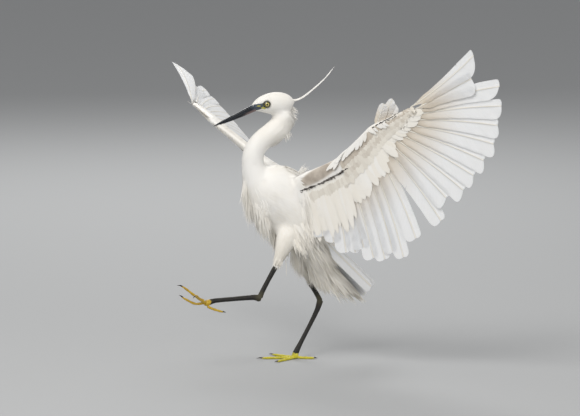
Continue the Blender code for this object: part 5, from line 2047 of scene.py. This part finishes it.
for name in SIDES:
    pile = FeatherPile()
    covert_rows(pile, name, UPPER_ROWS, True, white_tones, keep_all)
    if name == "right":
        covert_rows(pile, name, FAR_COVERTS, True, white_tones, keep_all)
    covert_rows(pile, name, LOWER_ROWS, False, shaded_underwing_tones, keep_off_fold if name == "left" else keep_all)
    if name == "left":
        covert_rows(pile, name, SHADOW_LINE_ROWS, False, painted_shadow_tones, keep_broken_shadow_line, fan=0.4, aside=(3.0, 3.0))
        covert_rows(pile, name, HAND_SHADOW_ROWS, False, painted_shadow_tones, keep_hand_shadow_marks, fan=0.5, aside=(2.0, 2.0))
    covert_rows(pile, name, AXILLARY_ROWS, False, cream_tones, keep_axillary, fan=0.06)
    if name == "left":
        covert_rows(pile, name, HANGING_ROWS, False, white_tones, keep_hanging, fan=0.12, aside=HANGING_SLANT)
    triangle_total += pile.piece(f"{name}_coverts", coat_material, "body_feathers")

# %% [markdown]
# ## The coat of the body
# Roots are strewn over the skin as evenly as on a real bird: many random places are drawn, closer together
# where feathers are small, and any place too near one already taken is dropped. Each root then asks the body's
# lines for its direction and size. Feathers are shortest on the face and longest over trunk and tail.

# %% Strewing the roots
EYE_CLEAR = 6.3 * MM
LAYERS = 7.5  # how many feathers lie over each other
LEAST_APART = 0.62


def skin_triangles(mesh):
    """Corner places and normals of the skin's triangles."""
    mesh.calc_loop_triangles()
    flat = np.empty(len(mesh.loop_triangles) * 3, np.int32)
    mesh.loop_triangles.foreach_get("vertices", flat)
    return mesh_points(mesh)[flat.reshape(-1, 3)]


def strewn_roots(mesh):
    """Evenly strewn places on the body's skin, with the plumage's direction and sizes at each."""
    corners = skin_triangles(mesh)
    normals = np.cross(corners[:, 1] - corners[:, 0], corners[:, 2] - corners[:, 0])
    area = np.linalg.norm(normals, axis=1) / 2
    centres = corners.mean(1)
    _, sizes = plumage_at(centres)
    each = sizes[:, 0] * sizes[:, 1] * 0.7 / LAYERS * MM**2
    wanted = area / each * 2.2
    on_wing = wing_weight(centres)
    grey, gold = face_masks(centres)
    wanted *= (on_wing < 0.6) * (np.maximum(grey, gold) < 0.5)
    number = int(wanted.sum())
    chosen = chance.choice(len(centres), number, p=wanted / wanted.sum())
    weights = chance.dirichlet((1, 1, 1), number)
    points = (corners[chosen] * weights[:, :, None]).sum(1)
    apart = np.sqrt(each[chosen]) * LEAST_APART
    cell = float(np.median(apart)) * 1.5
    keys = np.floor(points / cell).astype(int)
    taken = {}
    kept = []
    for i in range(number):
        x, y, z = keys[i]
        near = [j for a in (-1, 0, 1) for b in (-1, 0, 1) for c in (-1, 0, 1) for j in taken.get((x + a, y + b, z + c), ())]
        if near:
            gaps = points[near] - points[i]
            if ((gaps * gaps).sum(1) < apart[i] ** 2).any():
                continue
        taken.setdefault((x, y, z), []).append(i)
        kept.append(i)
    points = points[kept]
    for side_name, side in SIDES.items():
        centre, _ = eye_facts(f"eye_{side_name}", side)
        points = points[np.linalg.norm(points - np.array(centre), axis=1) > EYE_CLEAR]
    return points


def body_chart(points):
    """Each root's place on the body unrolled: along its nearest line, and round it."""
    u, v = np.zeros(len(points)), np.zeros(len(points))
    best = np.full(len(points), 1e9)
    for (name, line), (start, wide) in zip(BODY_LINES.items(), ((0.02, 0.58), (0.64, 0.16), (0.82, 0.16))):
        at, apart = nearest_on(line, points)
        centre, way = along(line, "places", at), along(line, "ways", at)
        off = points - centre
        deep = np.cross(way, np.array([0.0, 1.0, 0.0]))
        angle = np.arctan2(off[:, 1], (off * deep).sum(1)) / math.tau + 0.5
        nearer = apart < best
        best = np.where(nearer, apart, best)
        u = np.where(nearer, start + wide * angle, u)
        v = np.where(nearer, 0.02 + 0.96 * at, v)
    return np.stack([u, v], 1)


roots = strewn_roots(body_mesh)
places, normals = on_skin(roots)
ways, sizes = plumage_at(roots)
ways = unit(square_to(ways, normals) + chance.normal(0, 0.06, ways.shape))
ways = square_to(ways, normals)
print("roots on the body:", len(roots))

# %% The body's coat in pieces
# Where feathers stand off: middle in the drawing (across, height), its reach, how far the tips lift, how much longer
LOOSE_PLACES = (
    ((8, 434), 14, 0.30, 1.7),
    ((-12, 386), 12, 0.22, 1.6),
    ((-50, 280), 26, 0.05, 1.25),
    ((8, 175), 30, 0.16, 1.35),
    ((-38, 168), 14, 0.12, 1.5),
    ((30, 150), 22, 0.16, 1.5),
)
FEATHERS_IN_PIECE = 10800  # keeps each piece of the coat under 200,000 triangles


def looseness(points):
    """How much the tips lift and how much longer feathers are, at each root."""
    across, height = drawn(points)
    lift, longer = np.zeros(len(points)), np.ones(len(points))
    for (x, y), reach, rise, factor in LOOSE_PLACES:
        weight = np.exp(-(((across - x) ** 2 + (height - y) ** 2) / reach**2))
        lift += rise * weight
        longer += (factor - 1) * weight
    return lift, longer


lift, longer = looseness(roots)
bend = lift * chance.uniform(0.3, 1.0, len(roots)) + 0.004
size_noise = chance.uniform(0.85, 1.18, len(roots))
blade_sizes = np.stack([sizes[:, 0] * size_noise * longer, sizes[:, 1] * size_noise, sizes[:, 2]], 1) * MM
body_tones = np.clip(0.5 + chance.normal(0, 0.06, len(roots)), 0, 1)
body_tones -= 0.42 * (1 - blur_step(drawn(roots)[1], 200, 320))  # creamier towards the belly
body_bake = body_chart(roots)
down_the_body = np.argsort(nearest_on(BODY_LINES["spine"], roots)[0], kind="stable")
piece_count = math.ceil(len(roots) / FEATHERS_IN_PIECE)
for number, pick in enumerate(np.array_split(down_the_body, piece_count)):
    pile = FeatherPile()
    make_blades(
        pile, places[pick], ways[pick], normals[pick], blade_sizes[pick], body_bake[pick], body_tones[pick],
        bend=bend[pick],
    )
    triangle_total += pile.piece(f"body_coat_{number + 1}", coat_material, "body_feathers")
print("triangles in all feathers:", triangle_total)

# %% [markdown]
# ## Plumes and loose feathers
# In its finest dress the bird wears long thin plumes: one off the nape, a bib over the breast and a mantle of
# loose filaments down the back. Softer feathers also come away from the belly, between the legs and at the
# shoulder. Each is a blade along a bent line: it starts on the skin, swings out a little and ends where the
# table of locks says, with some spread.

# %% Locks of loose feathers
# Root (across, height, out), spread of roots, the tips' offset from them, spread of tips, count, width, swing (mm)
LOCKS = {
    "bib": ((-78, 300, 0), (6, 20, 9), (4, -42, 0), (9, 10, 5), 210, 1.6, 4),
    "bib_long": ((-72, 285, 0), (6, 10, 8), (8, -46, 0), (10, 8, 5), 60, 1.5, 6),
    "breast_curl": ((-52, 296, -26), (12, 12, 8), (16, -34, -4), (8, 8, 4), 46, 1.9, 4),
    "lower_breast": ((-56, 262, -12), (14, 26, 24), (10, -36, 0), (8, 8, 5), 190, 1.9, 2.5),
    "flank": ((24, 290, -44), (9, 18, 6), (16, -40, -4), (9, 9, 3), 130, 2.2, 2),
    "flank_low": ((34, 256, -40), (12, 20, 8), (18, -38, -4), (9, 9, 3), 130, 2.2, 2),
    "thigh_rear": ((16, 226, -38), (12, 20, 10), (14, -30, 0), (8, 8, 4), 150, 2.2, 2.5),
    "rump_side": ((40, 200, -18), (14, 18, 10), (24, -34, 0), (9, 8, 4), 150, 2.4, 2.5),
    "shoulder": ((28, 334, -14), (7, 5, 8), (10, 17, -3), (7, 5, 5), 26, 1.0, 2),
    "nape_tuft": ((6, 436, 0), (5, 6, 6), (10, -9, 0), (4, 4, 3), 60, 1.5, 1.5),
    "neck_tuft": ((-8, 399, 0), (5, 5, 6), (3, -10, 0), (2.5, 3, 3), 24, 1.5, 1.5),
    "belly": ((-30, 205, 0), (10, 18, 16), (-1, -24, 0), (6, 7, 5), 110, 2.4, 3),
    "between_legs": ((8, 186, -4), (10, 10, 16), (4, -36, 0), (7, 9, 5), 110, 2.4, 4),
    "vent": ((42, 160, 0), (15, 14, 14), (17, -34, 0), (9, 8, 6), 170, 2.6, 4),
    "left_knee": ((-20, 178, -34), (6, 8, 6), (-3, -15, 0), (3, 4, 2), 50, 1.5, 2),
    "right_knee": ((33, 146, 23), (5, 8, 6), (3, -14, 0), (3, 4, 2), 50, 1.5, 2),
    "undertail": ((72, 160, -4), (15, 16, 15), (38, -42, 0), (10, 8, 5), 240, 3.0, 3),
    "undertail_long": ((86, 150, 0), (10, 10, 10), (40, -38, 0), (7, 6, 4), 60, 4.2, 1),
}
LOCK_COUNT = 2.4  # how many times the table's counts are made
LOCK_FINENESS = 0.55  # share of the table's widths
LOCK_SWING = 0.45  # share of the table's swings
LOCK_LEAN = 0.8  # how far loose feathers turn their broad side outwards and forwards
LOCK_SKYWARD = np.array([-0.3, 0.0, 0.5])
MIDLINE_LOCKS = 4 * MM  # locks up to here right of the midline turn to the left
LOCK_SHARES = np.array([0.0, 0.18, 0.38, 0.58, 0.78, 1.0])
LOCK_WIDTHS = np.array([0.45, 0.9, 1.0, 0.85, 0.5])


def bent_lines(starts, ends, swing_way, swing):
    """Lines from starts to ends that swing out on the way."""
    t = LOCK_SHARES[None, :, None]
    middle = (starts + ends) / 2 + swing_way * swing[:, None]
    return (1 - t) ** 2 * starts[:, None] + 2 * t * (1 - t) * middle[:, None] + t**2 * ends[:, None]


def add_locks(pile, root, spread, offset, tip_spread, count, width, swing):
    """One tuft of loose feathers."""
    count, width = int(count * LOCK_COUNT), width * LOCK_FINENESS
    root_spots = np.array(root) + chance.uniform(-1, 1, (count, 3)) * spread
    tip_spots = root_spots + np.array(offset) + chance.normal(0, 0.5, (count, 3)) * tip_spread
    starts, normals = on_skin(np.array([tuple(seen(*spot)) for spot in root_spots]))
    shift = np.array([tuple(seen(*b) - seen(*a)) for a, b in zip(root_spots, tip_spots)])
    ends = starts + shift * chance.uniform(0.75, 1.1, (count, 1))
    places, skin_normals = on_skin(ends)
    inside = ((ends - places) * skin_normals).sum(1)
    ends = ends + skin_normals * np.clip(1.0 * MM - inside, 0, 12 * MM)[:, None]
    lines = bent_lines(starts, ends, normals, chance.uniform(0.4, 1, count) * swing * LOCK_SWING * MM)
    wide = LOCK_WIDTHS[None] * chance.uniform(0.75, 1.2, (count, 1)) * width * MM / 2
    side = np.where(starts[:, 1] < MIDLINE_Y + MIDLINE_LOCKS, 1.0, -1.0)[:, None]
    viewer = -np.array(away) * np.concatenate([np.ones((count, 1)), side, np.ones((count, 1))], 1)
    leaning = normals + viewer * LOCK_LEAN + LOCK_SKYWARD + chance.normal(0, 0.06, normals.shape)
    ups = np.repeat(unit(leaning)[:, None], len(LOCK_SHARES), 1)
    creamy = 0.3 * (1 - blur_step(drawn(starts)[1], 200, 320))  # creamier towards the belly
    tones = np.clip(0.45 - creamy + chance.normal(0, 0.08, count), 0, 1)
    grow_blades(pile, lines, ups, wide, starts - normals * 0.5 * MM, body_chart(starts), tones, LOCK_SHARES)


plume_pile = FeatherPile()
for lock in LOCKS.values():
    add_locks(plume_pile, *lock)
triangle_total += plume_pile.piece("loose_plumes", coat_material, "plumes", ["breast_plumes"])

# %% The nape plume and the mantle's filaments
PLUME_KEYS = ((-3, 458), (8, 455), (22, 460), (42, 475.5), (61, 493), (78, 514))
NAPE_PLUMES = ((0.0, 1.0, 1.5), (1.6, 0.93, 1.2))  # out from the midline, share of the length, half width (mm)
BARB_COUNT = 110
BARB_LENGTH = 6.5 * MM
MANTLE_COUNT = 70
MANTLE_FROM = (0.53, 0.66)  # where the filaments start along the spine
MANTLE_LENGTH = (70, 125)


def nape_plumes():
    """Two long narrow plumes with soft barbs along them."""
    pile = FeatherPile()
    for out, share, half_width in NAPE_PLUMES:
        line = [seen(row[0], row[1], out) for row in smooth_line(PLUME_KEYS, 8)]
        line = np.array([tuple(p) for p in part_of_line(line, 0, share, 28)])
        ups = np.tile(np.array([-0.35, -0.9, 0.3]), (1, len(line), 1))
        steps = np.linspace(0, 1, len(line))
        wide = (half_width * MM * (1 - steps**1.5) * blur_step(steps, -0.2, 0.2) + 0.15 * MM)[None, :-1]
        grow_blades(pile, line[None], unit(ups), wide, line[:1], body_chart(line[:1]), np.array([0.6]), steps)
        at = chance.uniform(0.05, 0.93, BARB_COUNT)
        spots = np.stack([np.interp(at, steps, line[:, k]) for k in range(3)], 1)
        ways = unit(np.stack([np.interp(at, steps, np.gradient(line[:, k])) for k in range(3)], 1))
        aside = unit(np.cross(ways, ups[0, :1])) * chance.choice([-1, 1], BARB_COUNT)[:, None]
        sizes = np.stack([BARB_LENGTH * (1 - 0.6 * at), np.full(BARB_COUNT, 0.5 * MM), np.zeros(BARB_COUNT)], 1)
        barb_ways = unit(ways + aside * 0.28 + chance.normal(0, 0.08, ways.shape))
        bake = np.stack([0.9 + 0.09 * chance.uniform(0, 1, BARB_COUNT), 0.02 + 0.96 * at], 1)
        make_blades(
            pile, spots, barb_ways, np.repeat(unit(ups[0, :1]), BARB_COUNT, 0), sizes, bake,
            np.full(BARB_COUNT, 0.6), drape=False,
        )
    return pile.piece("nape_plumes", coat_material, "plumes", ["nape_plume"])


def mantle_filaments():
    """Long loose filaments that lie down the back and lift off it at their ends."""
    pile = FeatherPile()
    at = chance.uniform(*MANTLE_FROM, MANTLE_COUNT)
    centre, way = along(BODY_LINES["spine"], "places", at), along(BODY_LINES["spine"], "ways", at)
    angle = chance.uniform(-0.4, 0.4, MANTLE_COUNT)
    deep = np.cross(np.array([0.0, 1.0, 0.0]), way)
    deep *= np.sign(deep[:, 2:3])
    radial = unit(deep * np.cos(angle)[:, None] + np.array([0, 1.0, 0]) * np.sin(angle)[:, None])
    starts, normals = on_skin(centre + radial * 60 * MM)
    lengths = chance.uniform(*MANTLE_LENGTH, MANTLE_COUNT) * MM
    shares = np.linspace(0, 1, 12)
    ways = square_to(plumage_at(starts)[0] + chance.normal(0, 0.10, starts.shape), normals)
    centres, ups = [starts], [normals]
    for before, now in zip(shares, shares[1:]):
        place, normal = on_skin(centres[-1] + ways * (lengths * (now - before))[:, None])
        height = (2.5 + 5 * now**3) * MM
        centres.append(place + normal * height)
        ups.append(normal)
        ways = square_to(ways, normal)
    centres, ups = np.stack(centres, 1), np.stack(ups, 1)
    wide = np.tile(0.7 * MM * (1 - shares[:-1] ** 3) + 0.1 * MM, (MANTLE_COUNT, 1))
    tones = np.full(MANTLE_COUNT, 0.6)
    grow_blades(pile, centres, ups, wide, starts - normals * 0.5 * MM, body_chart(starts), tones, shares)
    return pile.piece("mantle_filaments", coat_material, "plumes")


triangle_total += nape_plumes() + mantle_filaments()
print("triangles in all feathers:", triangle_total)

# %% [markdown]
# ## Sizes
# The feathers must stay inside the solids' box, so at the end the box of everything shown is measured.

# %% Sizes and finish
low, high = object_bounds()
